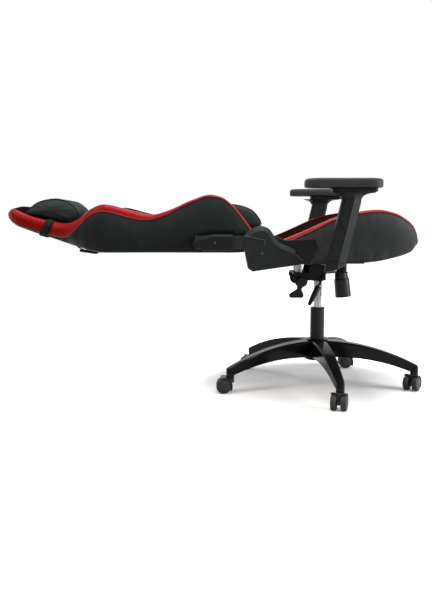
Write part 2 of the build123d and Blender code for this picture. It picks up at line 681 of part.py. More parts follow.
with BuildPart() as height_grip:
    with BuildSketch(Plane(origin=grip_start, x_dir=(0, 1, 0), z_dir=grip_run)):
        SlotOverall(GRIP_THICK, GRIP_WIDTH)
    with BuildSketch(Plane(origin=grip_start + grip_run / 2, x_dir=(0, 1, 0), z_dir=grip_run)):
        SlotOverall(GRIP_THICK * GRIP_SWELL, GRIP_WIDTH)
    with BuildSketch(Plane(origin=grip_start + grip_run, x_dir=(0, 1, 0), z_dir=grip_run)):
        SlotOverall(GRIP_THICK, GRIP_WIDTH / 2)
    loft()
    add(height_lever.part, mode=Mode.SUBTRACT)
save(height_grip.part, "height_grip")

# Tilt-lock lever: a hanging handle with a flared end, turning in the lobe
with BuildPart() as tilt_lock_lever:
    with BuildSketch(LEVER_PLANE):
        with BuildLine():
            Polyline(*[(LOBE_X + x, LOBE_Z + z) for x, z in TILT_SHAPE], close=True)
        make_face()
        fillet(vertices(), TILT_ROUND)
        with Locations((LOBE_X, LOBE_Z)):
            Circle(TILT_STEM)
    extrude(amount=LEVER_THICK)
    with BuildSketch(LEVER_PLANE):
        with Locations((LOBE_X, LOBE_Z)):
            Circle(LEVER_SHAFT)
    extrude(amount=-LEVER_THICK)
save(tilt_lock_lever.part, "tilt_lock_lever")

# Seat: foam body with raised side bolsters, on a steel frame let into its underside
FRAME_BOTTOM = SEAT_BOTTOM - GAP


def bolster_section(station, grow):
    """Cross-section of a bolstered cushion: flat base, bowed flanks, ridges and a crowned floor."""
    x, half, under, crest, floor = station
    half += grow
    under -= grow
    crest += grow
    floor += grow
    rise = crest - under
    corner = (half * BASE_SHARE, under)
    flank = (half, under + rise * FLANK_SHARE)
    shoulder = (half * SHOULDER_SHARE, crest - rise * RIDGE_ROUND)
    ridge = (half * RIDGE_SHARE, crest)
    lip = (half * LIP_SHARE, crest - (crest - floor) * RIDGE_ROUND)
    foot = (half * FLOOR_SHARE, floor)
    with BuildSketch(Plane(origin=(x, 0, 0), x_dir=(0, 1, 0), z_dir=(1, 0, 0))) as view:
        with BuildLine():
            Line((0, under), corner)
            ThreePointArc(corner, flank, shoulder)
            ThreePointArc(shoulder, ridge, lip)
            Line(lip, foot)
            ThreePointArc(foot, (half * FLOOR_SHARE / 2, floor + CROWN * 3 / 4), (0, floor + CROWN))
            Line((0, floor + CROWN), (0, under))
        make_face()
        mirror(about=Plane.YZ)
    return view.sketch


def bolstered(stations, grow=0.0):
    """A cushion lofted through its cross-sections, all moved out by grow."""
    with BuildPart() as body:
        loft([bolster_section(station, grow) for station in stations], ruled=True)
    return body.part


def station_at(stations, x):
    """The cross-section sizes at x, read between the two stations beside it."""
    for near, far in zip(stations, stations[1:]):
        if min(near[0], far[0]) <= x <= max(near[0], far[0]):
            share = (x - near[0]) / (far[0] - near[0])
            return tuple(a + (b - a) * share for a, b in zip(near, far))


def frame_plan(inset):
    """Plan of the seat frame's ring and cross members, every edge moved in by inset."""
    with BuildSketch(Plane.XY.offset(FRAME_BOTTOM + inset)) as view:
        with Locations(((FRAME_REAR + FRAME_FRONT) / 2, 0)):
            Rectangle(FRAME_FRONT - FRAME_REAR, 2 * FRAME_HALF)
            Rectangle(FRAME_FRONT - FRAME_REAR - 2 * FRAME_RAIL, 2 * (FRAME_HALF - FRAME_RAIL), mode=Mode.SUBTRACT)
        for x in (BOLT_REAR, BOLT_FRONT):
            with Locations((x, 0)):
                Rectangle(FRAME_RAIL + SPACER_RADIUS, FRAME_HALF * 2)
        if inset:
            offset(amount=-inset)
    return view.sketch


PLATE_Y = SEAT_HALF + GAP

with BuildPart() as seat_frame:
    extrude(frame_plan(0), FRAME_TUBE)
    extrude(frame_plan(FRAME_WALL), FRAME_TUBE, mode=Mode.SUBTRACT)
    with Locations(*[(EAR_X, side * (FRAME_HALF + PLATE_Y) / 2, FRAME_BOTTOM) for side in (-1, 1)]):
        Box(EAR_LENGTH, PLATE_Y - FRAME_HALF, STEEL, align=(Align.CENTER, Align.CENTER, Align.MIN))
    with BuildSketch(Plane.XY.offset(FRAME_BOTTOM)):
        with Locations(*[(x, y) for x in (BOLT_REAR, BOLT_FRONT) for y in (-BOLT_HALF, BOLT_HALF)]):
            Circle(BOLT_RADIUS + RUN)
    extrude(amount=FRAME_TUBE, mode=Mode.SUBTRACT)
save(seat_frame.part, "seat_frame")

with BuildPart() as seat_cushion:
    add(bolstered(SEAT_STATIONS))
    with Locations(((FRAME_REAR + FRAME_FRONT) / 2, 0, SEAT_BOTTOM)):
        Box(
            FRAME_FRONT - FRAME_REAR + 2 * GAP, 2 * (FRAME_HALF + GAP), FRAME_TUBE - GAP,
            align=(Align.CENTER, Align.CENTER, Align.MIN), mode=Mode.SUBTRACT,
        )
    with Locations((EAR_X, 0, SEAT_BOTTOM)):
        Box(
            EAR_LENGTH + 2 * GAP, 2 * PLATE_Y, STEEL,
            align=(Align.CENTER, Align.CENTER, Align.MIN), mode=Mode.SUBTRACT,
        )
save(seat_cushion.part, "seat_cushion")

# Spacer sleeves between the tilt plate and the seat frame, each on its bolt
with BuildPart() as seat_spacers:
    with BuildSketch(Plane.XY.offset(PLATE_TOP)):
        with Locations(*[(x, y) for x in (BOLT_REAR, BOLT_FRONT) for y in (-BOLT_HALF, BOLT_HALF)]):
            Circle(SPACER_RADIUS)
    extrude(amount=FRAME_BOTTOM - PLATE_TOP)
    with BuildSketch(Plane.XY.offset(PLATE_BOTTOM)):
        with Locations(*[(x, y) for x in (BOLT_REAR, BOLT_FRONT) for y in (-BOLT_HALF, BOLT_HALF)]):
            Circle(BOLT_RADIUS)
    extrude(amount=FRAME_BOTTOM + FRAME_TUBE - PLATE_BOTTOM)
save(seat_spacers.part, "seat_spacers")

# Recline hinge: seat plate with its pin, back arm, and the two plastic covers
BACK_ARM_Y = PLATE_Y + STEEL + GAP
COVER_Y = BACK_ARM_Y + STEEL + GAP
COVER_OUT = COVER_Y + COVER_DEEP

with BuildPart() as hinge_plate:
    with BuildSketch(Plane.XZ.offset(PLATE_Y)):
        with BuildLine():
            Polyline((HINGE_X, HINGE_Z + HINGE_HEAD), *HINGE_PLATE, (HINGE_X, HINGE_Z - HINGE_HEAD), close=True)
        make_face()
        with Locations((HINGE_X, HINGE_Z)):
            Circle(HINGE_HEAD)
    extrude(amount=STEEL)
    with BuildSketch(Plane.XZ.offset(PLATE_Y)):
        with Locations((HINGE_X, HINGE_Z)):
            Circle(HINGE_PIN)
    extrude(amount=COVER_OUT - COVER_WALL - PLATE_Y)
save(hinge_plate.part, "hinge_plate_right")
save(mirrored(hinge_plate.part), "hinge_plate_left")


def cover_outline(inset):
    """Side view of a hinge cover: straight skirt and rear, arched top."""
    with BuildSketch(Plane.XZ.offset(COVER_Y)) as view:
        with BuildLine():
            Polyline(*COVER_EDGE)
            ThreePointArc(COVER_EDGE[-1], COVER_PEAK, COVER_EDGE[0])
        make_face()
        if inset:
            offset(amount=-inset)
    return view.sketch


with BuildPart() as hinge_cover:
    extrude(cover_outline(0), COVER_DEEP)
    chamfer(hinge_cover.faces().sort_by(Axis.Y)[0].edges(), COVER_BEVEL)
    extrude(cover_outline(COVER_BEVEL + COVER_WALL), COVER_DEEP - COVER_WALL, mode=Mode.SUBTRACT)
    with BuildSketch(Plane.XZ.offset(PLATE_Y + STEEL)):
        with Locations((HINGE_X + COVER_PAD_X, HINGE_Z - COVER_PAD_DROP)):
            Rectangle(COVER_PAD_LENGTH, COVER_PAD_HEIGHT)
    extrude(amount=COVER_OUT - COVER_WALL - PLATE_Y - STEEL)
save(hinge_cover.part, "hinge_cover_right")

with BuildPart() as left_cover:
    add(mirrored(hinge_cover.part))
    with BuildSketch(Plane.XZ.offset(-COVER_Y)):
        with Locations((HINGE_X, HINGE_Z)):
            Circle(RECLINE_STUB + RUN)
    extrude(amount=-COVER_DEEP, mode=Mode.SUBTRACT)
save(left_cover.part, "hinge_cover_left")

with BuildPart() as back_arm:
    with BuildSketch(Plane.XZ.offset(BACK_ARM_Y)):
        with BuildLine():
            Polyline(
                (HINGE_X, HINGE_Z - BACK_ARM_WIDTH / 2), (HINGE_X, HINGE_Z + BACK_ARM_WIDTH / 2),
                (BACK_ARM_END, HINGE_Z + BACK_ARM_WIDTH / 2), (BACK_ARM_END, HINGE_Z - BACK_ARM_WIDTH / 2),
                close=True,
            )
        make_face()
        with Locations((HINGE_X, HINGE_Z)):
            Circle(HINGE_HEAD - STEEL)
            Circle(HINGE_PIN + RUN, mode=Mode.SUBTRACT)
    extrude(amount=STEEL)
save(back_arm.part, "back_arm_right")
save(mirrored(back_arm.part), "back_arm_left")

with BuildPart() as back_cover:
    with BuildSketch(Plane.XZ.offset(BACK_ARM_Y + STEEL)):
        with BuildLine():
            Polyline(*[(HINGE_X + x, HINGE_Z + z) for x, z in BACK_COVER_SHAPE], close=True)
        make_face()
    extrude(amount=BACK_COVER_DEEP)
    chamfer(back_cover.faces().sort_by(Axis.Y)[0].edges(), BACK_COVER_DEEP / 2)
save(back_cover.part, "back_cover_right")
save(mirrored(back_cover.part), "back_cover_left")

# Backrest: steel ladder frame inside a foam body with shoulder and waist wings
def ladder_plan(inset):
    """Plan of the back frame's ladder, every edge moved in by inset."""
    with BuildSketch(Plane.XY.offset(RAIL_Z - RAIL_SIZE / 2 + inset)) as view:
        with Locations(((RAIL_FRONT + RAIL_REAR) / 2, 0)):
            Rectangle(RAIL_FRONT - RAIL_REAR, 2 * RAIL_Y + RAIL_SIZE)
            Rectangle(RAIL_FRONT - RAIL_REAR - 2 * RAIL_SIZE, 2 * RAIL_Y - RAIL_SIZE, mode=Mode.SUBTRACT)
        if inset:
            offset(amount=-inset)
    return view.sketch


with BuildPart() as back_frame:
    extrude(ladder_plan(0), RAIL_SIZE)
    extrude(ladder_plan(FRAME_WALL), RAIL_SIZE, mode=Mode.SUBTRACT)
    with BuildSketch(Plane.XZ.offset(RAIL_Y)):
        with Locations((BOSS_FRONT, HINGE_Z), (BOSS_REAR, HINGE_Z)):
            Circle(RAIL_SIZE / 2 - FRAME_WALL)
    bosses = extrude(amount=BACK_ARM_Y - RAIL_Y)
    mirror(bosses, about=Plane.XZ)
save(back_frame.part, "back_frame")

with BuildPart() as back_cushion:
    add(bolstered(BACK_STATIONS))
    with Locations(((RAIL_FRONT + RAIL_REAR) / 2, 0, RAIL_Z)):
        Box(RAIL_FRONT - RAIL_REAR, 2 * RAIL_Y + RAIL_SIZE, RAIL_SIZE, mode=Mode.SUBTRACT)
    add(back_frame.part, mode=Mode.SUBTRACT)
save(back_cushion.part, "back_cushion")


# Pillows, each held against the backrest by its straps
def pillow(size, place, pitch):
    """A stuffed pillow: broad at its seam, smaller at its faces, lying at a pitch."""
    length, width, height = size
    lean = radians(pitch)
    seam = Plane(
        origin=(place[0], 0, place[1]), x_dir=(cos(lean), 0, -sin(lean)), z_dir=(sin(lean), 0, cos(lean))
    )
    with BuildPart() as stuffed:
        with BuildSketch(seam.offset(-height / 2)):
            RectangleRounded(length * PILLOW_BASE, width * PILLOW_BASE, PILLOW_ROUND)
        with BuildSketch(seam):
            RectangleRounded(length, width, PILLOW_ROUND)
        with BuildSketch(seam.offset(height / 2)):
            RectangleRounded(length * PILLOW_FACE, width * PILLOW_FACE, PILLOW_ROUND)
        loft()
    return stuffed.part


save(pillow(LUMBAR_SIZE, LUMBAR_PLACE, LUMBAR_PITCH), "lumbar_pillow")
save(pillow(HEAD_SIZE, HEAD_PLACE, HEAD_PITCH), "head_pillow")

# The head strap rings the headrest. The lumbar strap runs under the backrest and up its front end.
def underside(x, drop):
    """The point below the backrest at x, lowered by drop."""
    return (x, station_at(BACK_STATIONS, x)[2] - drop)


with BuildPart() as head_strap:
    ends = [station_at(BACK_STATIONS, HEAD_STRAP_X + side * STRAP_WIDTH / 2) for side in (1, -1)]
    middle = station_at(BACK_STATIONS, HEAD_STRAP_X)
    half_height = (middle[2] + middle[4]) / 2
    add(bolstered(ends, GAP + STRAP_THICK))
    with Locations((HEAD_STRAP_X, 0, half_height)):
        Box(
            2 * STRAP_WIDTH, 2 * STRAP_REACH, half_height,
            align=(Align.CENTER, Align.CENTER, Align.MIN), mode=Mode.SUBTRACT,
        )
    add(bolstered(ends, GAP), mode=Mode.SUBTRACT)

with BuildPart() as lumbar_strap:
    buckle_front = HINGE_X - BUCKLE_SET
    buckle_rear = buckle_front - BUCKLE_LENGTH
    front, _, front_under, _, front_floor = BACK_STATIONS[0]
    outer = GAP + STRAP_THICK
    line_x = [station[0] for station in BACK_STATIONS if station[0] > buckle_front] + [buckle_front, buckle_rear]
    with BuildSketch(Plane.XZ):
        with BuildLine():
            Polyline(
                (front + GAP, front_floor + LUMBAR_STRAP_RISE), (front + GAP, front_under - GAP),
                *[underside(x, GAP) for x in line_x], *[underside(x, outer) for x in reversed(line_x)],
                (front + outer, front_under - outer), (front + outer, front_floor + LUMBAR_STRAP_RISE), close=True,
            )
        make_face()
    extrude(amount=STRAP_WIDTH / 2, both=True)
    with BuildSketch(Plane.XZ):
        with BuildLine():
            Polyline(
                underside(buckle_front, outer - GAP), underside(buckle_rear, outer - GAP),
                underside(buckle_rear, GAP + BUCKLE_THICK), underside(buckle_front, GAP + BUCKLE_THICK), close=True,
            )
        make_face()
    extrude(amount=BUCKLE_HALF, both=True)

with BuildPart() as pillow_straps:
    add(head_strap.part)
    add(lumbar_strap.part)
save(pillow_straps.part, "pillow_straps")

# Armrests, drawn on the sitter's right on an axis that leans forward
lean = radians(POST_LEAN)
POST_AXIS = Plane(
    origin=(POST_FOOT[0], -POST_Y, POST_FOOT[1]), x_dir=(cos(lean), 0, -sin(lean)), z_dir=(sin(lean), 0, cos(lean))
)
BRACKET_BOTTOM = FRAME_BOTTOM - BRACKET_THICK


def post_section(height):
    """Cross-section of the post at a height along its axis, its front outer corner bevelled off."""
    edge = POST_THICK / 2
    with BuildSketch(POST_AXIS.offset(height)) as view:
        with BuildLine():
            Polyline(
                (-POST_HALF, POST_CORNER - edge), (POST_CORNER - POST_HALF, -edge), (POST_RIDGE, -edge),
                (POST_HALF, 0), (POST_HALF, edge - POST_CORNER), (POST_HALF - POST_CORNER, edge),
                (POST_CORNER - POST_HALF, edge), (-POST_HALF, edge - POST_CORNER), close=True,
            )
        make_face()
    return view.sketch


def core_section(height, fit):
    """Cross-section of the steel core, or of the bore round it."""
    with BuildSketch(POST_AXIS.offset(height)) as view:
        Rectangle(CORE_WIDTH + 2 * fit, CORE_THICK + 2 * fit)
    return view.sketch


with BuildPart() as arm_bracket:
    with BuildSketch(Plane.XY.offset(BRACKET_BOTTOM)):
        with Locations((POST_FOOT[0], -(POST_Y + BRACKET_REACH) / 2 - CORE_THICK / 4)):
            Rectangle(BRACKET_WIDTH, POST_Y - BRACKET_REACH + CORE_THICK / 2)
        fillet(vertices().group_by(Axis.Y)[-1], BRACKET_WIDTH / 4)
    extrude(amount=BRACKET_THICK)
    extrude(core_section(0, 0), CORE_LENGTH)
save(arm_bracket.part, "arm_bracket_right")
save(mirrored(arm_bracket.part), "arm_bracket_left")

with BuildPart() as arm_boot:
    extrude(post_section(-BOOT_DROP), POST_SEAM + BOOT_DROP - GAP)
    extrude(core_section(-BOOT_DROP, CORE_FIT), CORE_LENGTH, mode=Mode.SUBTRACT)
    nose_x = POST_FOOT[0] - BOOT_NOSE
    front_x = POST_FOOT[0] + 2 * POST_HALF
    front_rise = (front_x - nose_x) * tan(radians(BOOT_SLOPE))
    with BuildSketch(Plane.XZ.offset(POST_Y)):
        with BuildLine():
            Polyline(
                (-front_x, BOOT_BOTTOM), (nose_x, BOOT_BOTTOM), (front_x, BOOT_BOTTOM + front_rise),
                (front_x, BOOT_BOTTOM - POST_HALF), (-front_x, BOOT_BOTTOM - POST_HALF), close=True,
            )
        make_face()
    extrude(amount=POST_THICK, both=True, mode=Mode.SUBTRACT)
    with Locations((POST_FOOT[0], -POST_Y + POST_THICK / 2, BRACKET_BOTTOM - CORE_FIT)):
        Box(
            BRACKET_WIDTH + 2 * CORE_FIT, POST_THICK + CORE_THICK + 2 * CORE_FIT, BRACKET_THICK + 2 * CORE_FIT,
            align=(Align.CENTER, Align.CENTER, Align.MIN), mode=Mode.SUBTRACT,
        )
save(arm_boot.part, "arm_boot_right")
save(mirrored(arm_boot.part), "arm_boot_left")

HEAD_TOP_PLANE = Plane.XY.offset(POST_TOP)
KEY_SLOT = KEY_LENGTH + 2 * SLIDE_TRAVEL
BUTTON_PLANE = Plane(
    origin=POST_AXIS.from_local_coords((POST_CORNER / 2 - POST_HALF / 2, -POST_THICK / 2, BUTTON_UP)),
    x_dir=POST_AXIS.x_dir, z_dir=(0, -1, 0),
)

with BuildPart() as arm_post:
    extrude(post_section(POST_SEAM), (POST_TOP - FLARE_DROP - POST_FOOT[1]) / cos(lean) - POST_SEAM)
    with BuildSketch(HEAD_TOP_PLANE):
        with Locations((HEAD_X, -POST_Y)):
            RectangleRounded(HEAD_LENGTH, HEAD_WIDTH, HEAD_DEEP)
    extrude(amount=-HEAD_DEEP)
    with BuildSketch(Plane.XZ.offset(POST_Y - POST_THICK / 2)):
        with BuildLine():
            half = HEAD_LENGTH / 2
            stem_x = POST_FOOT[0] + (POST_TOP - FLARE_DROP - POST_FOOT[1]) * sin(lean) / cos(lean)
            low = POST_TOP - FLARE_DROP - HEAD_DEEP
            high = POST_TOP - HEAD_DEEP
            Line((HEAD_X - half + HEAD_DEEP, high), (HEAD_X + half - HEAD_DEEP, high))
            RadiusArc((HEAD_X + half - HEAD_DEEP, high), (stem_x + POST_HALF - HEAD_DEEP, low), HEAD_LENGTH / 2)
            Line((stem_x + POST_HALF - HEAD_DEEP, low), (stem_x - POST_HALF + HEAD_DEEP, low))
            RadiusArc((stem_x - POST_HALF + HEAD_DEEP, low), (HEAD_X - half + HEAD_DEEP, high), HEAD_LENGTH / 2)
        make_face()
    extrude(amount=POST_THICK)
    extrude(core_section(POST_SEAM, CORE_FIT), CORE_LENGTH - POST_SEAM + GAP, mode=Mode.SUBTRACT)
    with BuildSketch(HEAD_TOP_PLANE):
        with Locations((PAD_SWIVEL_X, -POST_Y)):
            Rectangle(KEY_SLOT + 2 * GAP, KEY_WIDTH + 2 * GAP)
    extrude(amount=-KEY_DEEP - GAP, mode=Mode.SUBTRACT)
    with BuildSketch(BUTTON_PLANE):
        Rectangle(BUTTON_SIZE[0] + 2 * RUN, BUTTON_SIZE[1] + 2 * RUN)
    extrude(amount=-BUTTON_DEEP, mode=Mode.SUBTRACT)
save(arm_post.part, "arm_post_right")
save(mirrored(arm_post.part), "arm_post_left")

with BuildPart() as arm_button:
    with BuildSketch(BUTTON_PLANE.offset(BUTTON_PROUD)):
        Rectangle(*BUTTON_SIZE)
    extrude(amount=-BUTTON_DEEP)
    chamfer(arm_button.faces().sort_by(Axis.Y)[0].edges(), BUTTON_PROUD / 2)
save(arm_button.part, "arm_button_right")
save(mirrored(arm_button.part), "arm_button_left")

# Pad slider: a plate on the post's head, keyed to slide, with the pad's swivel pin
SLIDER_BOTTOM = POST_TOP + GAP
SLIDER_TOP = SLIDER_BOTTOM + SLIDER_HEIGHT
PAD_BOTTOM = SLIDER_TOP + GAP
BUTTON_FRONT = HEAD_X + HEAD_LENGTH / 2
LEFT_SLID = Location((LEFT_PAD_SLIDE, 0, 0))

with BuildPart() as arm_slider:
    with BuildSketch(Plane.XY.offset(SLIDER_BOTTOM)):
        with Locations((HEAD_X, -POST_Y)):
            RectangleRounded(HEAD_LENGTH, HEAD_WIDTH, HEAD_DEEP)
    extrude(amount=SLIDER_HEIGHT)
    with Locations((PAD_SWIVEL_X, -POST_Y, SLIDER_BOTTOM)):
        Box(KEY_LENGTH, KEY_WIDTH, KEY_DEEP, align=(Align.CENTER, Align.CENTER, Align.MAX))
    with BuildSketch(Plane.XY.offset(SLIDER_TOP)):
        with Locations((PAD_SWIVEL_X, -POST_Y)):
            Circle(PAD_PIN)
    extrude(amount=PAD_PIN_HEIGHT)
    with Locations((BUTTON_FRONT, -POST_Y, SLIDER_BOTTOM + SLIDER_HEIGHT / 2)):
        Box(
            2 * PAD_BUTTON[0], PAD_BUTTON[1] + 2 * RUN, PAD_BUTTON[2] + 2 * RUN, mode=Mode.SUBTRACT
        )
save(arm_slider.part, "arm_slider_right")
save(mirrored(arm_slider.part).moved(LEFT_SLID), "arm_slider_left")

with BuildPart() as pad_button:
    with Locations((BUTTON_FRONT - PAD_BUTTON[0] / 2 + BUTTON_PROUD, -POST_Y, SLIDER_BOTTOM + SLIDER_HEIGHT / 2)):
        Box(*PAD_BUTTON)
    fillet(pad_button.edges().filter_by(Axis.Z).group_by(Axis.X)[-1], PAD_BUTTON[2])
save(pad_button.part, "pad_button_right")
save(mirrored(pad_button.part).moved(LEFT_SLID), "pad_button_left")

with BuildPart() as arm_pad:
    with BuildSketch(Plane.XY.offset(PAD_BOTTOM)):
        with Locations((PAD_X, -POST_Y)):
            RectangleRounded(PAD_LENGTH, PAD_WIDTH, PAD_ROUND)
    extrude(amount=PAD_HEIGHT)
    fillet(arm_pad.faces().sort_by(Axis.Z)[-1].edges(), PAD_EDGE)
    with BuildSketch(Plane.XY.offset(PAD_BOTTOM)):
        with Locations((PAD_SWIVEL_X, -POST_Y)):
            Circle(PAD_PIN + RUN)
    extrude(amount=PAD_PIN_HEIGHT, mode=Mode.SUBTRACT)
save(arm_pad.part, "arm_pad_right")
swivel = Axis((PAD_SWIVEL_X, POST_Y, 0), (0, 0, 1))
save(mirrored(arm_pad.part).rotate(swivel, LEFT_PAD_TOE).moved(LEFT_SLID), "arm_pad_left")

# Recline lever: a flat bar on the end of the left-hand hinge pin, with a moulded grip
RECLINE_Y = COVER_OUT + GAP

with BuildPart() as recline_lever:
    with BuildSketch(Plane.XZ.offset(-RECLINE_Y)):
        with Locations((HINGE_X, HINGE_Z)):
            Circle(RECLINE_BAR)
        with Locations((HINGE_X + RECLINE_REACH / 2, HINGE_Z)):
            Rectangle(RECLINE_REACH, RECLINE_BAR)
    extrude(amount=-STEEL)
    with BuildSketch(Plane.XZ.offset(-RECLINE_Y)):
        with Locations((HINGE_X + RECLINE_REACH - RECLINE_GRIP / 2, HINGE_Z)):
            RectangleRounded(RECLINE_GRIP, RECLINE_GRIP_SIZE, RECLINE_GRIP_SIZE / 3)
    extrude(amount=-RECLINE_GRIP_THICK)
    with BuildSketch(Plane.XZ.offset(-RECLINE_Y)):
        with Locations((HINGE_X, HINGE_Z)):
            Circle(RECLINE_STUB)
    extrude(amount=COVER_WALL)
save(recline_lever.part, "recline_lever")
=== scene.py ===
"""Racing-style swivel chair with its backrest folded flat.

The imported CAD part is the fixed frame. Soft pieces, pads, covers and trim are made here and ride on its
bodies, and the other moulded and pressed pieces are recast from their CAD nodes with rounded edges.
"""
import math

import bmesh
import bpy
import numpy as np
from mathutils import Matrix, Vector


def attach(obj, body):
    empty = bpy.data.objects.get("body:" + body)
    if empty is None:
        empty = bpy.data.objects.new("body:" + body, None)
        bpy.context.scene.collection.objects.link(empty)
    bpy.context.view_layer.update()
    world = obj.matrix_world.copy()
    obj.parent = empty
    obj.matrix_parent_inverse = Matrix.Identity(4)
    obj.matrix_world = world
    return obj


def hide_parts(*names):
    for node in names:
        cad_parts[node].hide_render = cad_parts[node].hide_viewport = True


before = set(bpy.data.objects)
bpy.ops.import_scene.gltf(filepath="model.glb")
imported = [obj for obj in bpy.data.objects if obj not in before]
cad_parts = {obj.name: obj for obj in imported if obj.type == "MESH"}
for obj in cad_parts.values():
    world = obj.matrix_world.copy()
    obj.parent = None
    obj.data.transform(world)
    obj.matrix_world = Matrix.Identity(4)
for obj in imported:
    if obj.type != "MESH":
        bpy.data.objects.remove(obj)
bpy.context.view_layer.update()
scene = bpy.context.scene
scene.view_settings.view_transform = "Standard"

# Studio: a white floor that runs out of sight, a broad overhead softbox for the shadow under the base,
# panels at the sides and behind for the sheen on the leatherette, and a camera square to the right side.
# The floor's white is given for rays that light and rays that see, and its glow for near and far.
FLOOR_HALF = 14.0
FLOOR_WHITE = (0.22, 0.95)
FLOOR_LIFT = (0.08, 1.0)
LIFT_REACH = (0.31, 0.50)
SKY_LIGHT = 0.17
CAMERA_SPOT = (-0.356, -2.400, 0.568)
CAMERA_PITCH = 6.38
CAMERA_LENS = 41.34
CAMERA_SENSOR = 36.0
SOFTBOXES = {
    "overhead": ((-0.1, -0.3, 3.0), (-0.1, 0.0, 0.3), 2.0, 105.0, (1.0, 0.99, 0.98)),
    "high_left": ((-2.6, -1.2, 2.4), (-0.7, 0.0, 0.55), 1.2, 34.0, (1.0, 0.84, 0.70)),
    "front_right": ((2.3, -1.15, 1.2), (0.1, 0.0, 0.45), 1.2, 52.0, (0.97, 0.99, 1.0)),
    "right_strip": ((2.6, -0.55, 0.54), (0.1, -0.3, 0.55), 0.7, 26.0, (1.0, 1.0, 1.0)),
    "rear": ((-0.5, 3.0, 2.2), (-0.4, 0.0, 0.5), 1.8, 14.0, (1.0, 1.0, 1.0)),
}


def fresh_nodes(material):
    """The material's node tree with its shader and output laid out, ready for more nodes."""
    material.use_nodes = True
    tree = material.node_tree
    return tree, tree.nodes["Principled BSDF"], tree.nodes["Material Output"]


def feed(tree, node, inputs):
    """Set a node's inputs, by name or number, to values or join them to other nodes' sockets."""
    for key, value in inputs.items():
        if isinstance(value, bpy.types.NodeSocket):
            tree.links.new(value, node.inputs[key])
        else:
            node.inputs[key].default_value = value


def add_node(tree, kind, inputs, **settings):
    """A new node with its settings made and its inputs fed."""
    node = tree.nodes.new(kind)
    for name, value in settings.items():
        setattr(node, name, value)
    feed(tree, node, inputs)
    return node


def seen_rays(tree):
    """1 for the rays that see a surface straight, mirrored or through glass, 0 for the ones that light it."""
    ray = tree.nodes.new("ShaderNodeLightPath")
    total = ray.outputs["Is Camera Ray"]
    for kind in ("Is Glossy Ray", "Is Transmission Ray"):
        either = add_node(tree, "ShaderNodeMath", {0: total, 1: ray.outputs[kind]}, operation="MAXIMUM")
        total = either.outputs[0]
    return total


floor_mesh = bpy.data.meshes.new("floor")
corners = [(-FLOOR_HALF, -FLOOR_HALF, 0), (FLOOR_HALF, -FLOOR_HALF, 0), (FLOOR_HALF, FLOOR_HALF, 0),
           (-FLOOR_HALF, FLOOR_HALF, 0)]
floor_mesh.from_pydata(corners, [], [(0, 1, 2, 3)])
floor = bpy.data.objects.new("floor", floor_mesh)
scene.collection.objects.link(floor)
floor_paint = bpy.data.materials.new("floor_white")
tree, shader, output = fresh_nodes(floor_paint)
seen = seen_rays(tree)
white = add_node(tree, "ShaderNodeMapRange", {
    "Value": seen, "To Min": FLOOR_WHITE[0], "To Max": FLOOR_WHITE[1]})
feed(tree, shader, {"Base Color": white.outputs["Result"], "Roughness": 1.0, "Specular IOR Level": 0.0})
place = tree.nodes.new("ShaderNodeTexCoord")
away = add_node(tree, "ShaderNodeVectorMath", {0: place.outputs["Object"]}, operation="LENGTH")
fade = add_node(tree, "ShaderNodeMapRange", {
    "Value": away.outputs["Value"], "From Min": LIFT_REACH[0], "From Max": LIFT_REACH[1],
    "To Min": FLOOR_LIFT[0], "To Max": FLOOR_LIFT[1]}, interpolation_type="SMOOTHSTEP")
lift = add_node(tree, "ShaderNodeMath", {0: seen, 1: fade.outputs["Result"]}, operation="MULTIPLY")
glow = add_node(tree, "ShaderNodeEmission", {"Strength": lift.outputs[0]})
both = add_node(tree, "ShaderNodeAddShader", {0: shader.outputs[0], 1: glow.outputs[0]})
feed(tree, output, {"Surface": both.outputs[0]})
floor_mesh.materials.append(floor_paint)

world = bpy.data.worlds.new("studio")
world.use_nodes = True
scene.world = world
tree = world.node_tree
sky = tree.nodes["Background"]
feed(tree, sky, {"Color": (1, 1, 1, 1), "Strength": SKY_LIGHT})
backdrop = add_node(tree, "ShaderNodeBackground", {"Color": (1, 1, 1, 1)})
pick = add_node(tree, "ShaderNodeMixShader", {
    "Fac": seen_rays(tree), 1: sky.outputs[0], 2: backdrop.outputs[0]})
feed(tree, tree.nodes["World Output"], {"Surface": pick.outputs[0]})

for name, (spot, aim, size, power, tint) in SOFTBOXES.items():
    lamp = bpy.data.lights.new(name, "AREA")
    lamp.size = size
    lamp.energy = power
    lamp.color = tint
    box = bpy.data.objects.new(name, lamp)
    box.location = spot
    box.rotation_euler = (Vector(aim) - Vector(spot)).to_track_quat("-Z", "Y").to_euler()
    scene.collection.objects.link(box)

lens = bpy.data.cameras.new("photo_view")
lens.lens = CAMERA_LENS
lens.sensor_width = CAMERA_SENSOR
camera = bpy.data.objects.new("photo_view", lens)
camera.location = CAMERA_SPOT
camera.rotation_euler = (math.radians(90 - CAMERA_PITCH), 0, 0)
scene.collection.objects.link(camera)
scene.camera = camera


# Star base: one injection moulding in glossy black nylon, five arched arms on a hub, the arms hollow
# and ribbed underneath and drawn in over the stem sockets. Edges are rounded and the gloss is uneven.
MM = 0.001
PALE_DUST = 0.01
GLOSS_SWAY, SCUFF_SWAY = 0.06, 0.1
GRAIN_DEPTH = 0.0004


def mottled(tree, place, dark, pale, scale, detail, spread):
    """Cloudy colour between two tones over a spread of the noise: the noise's socket and the colour's."""
    cloud = add_node(tree, "ShaderNodeTexNoise", {"Vector": place, "Scale": scale, "Detail": detail})
    ramp = add_node(tree, "ShaderNodeValToRGB", {"Fac": cloud.outputs["Fac"]})
    for element, tone, position in zip(ramp.color_ramp.elements, (dark, pale), spread):
        element.color = (*tone, 1)
        element.position = position
    return cloud.outputs["Fac"], ramp.outputs["Color"]


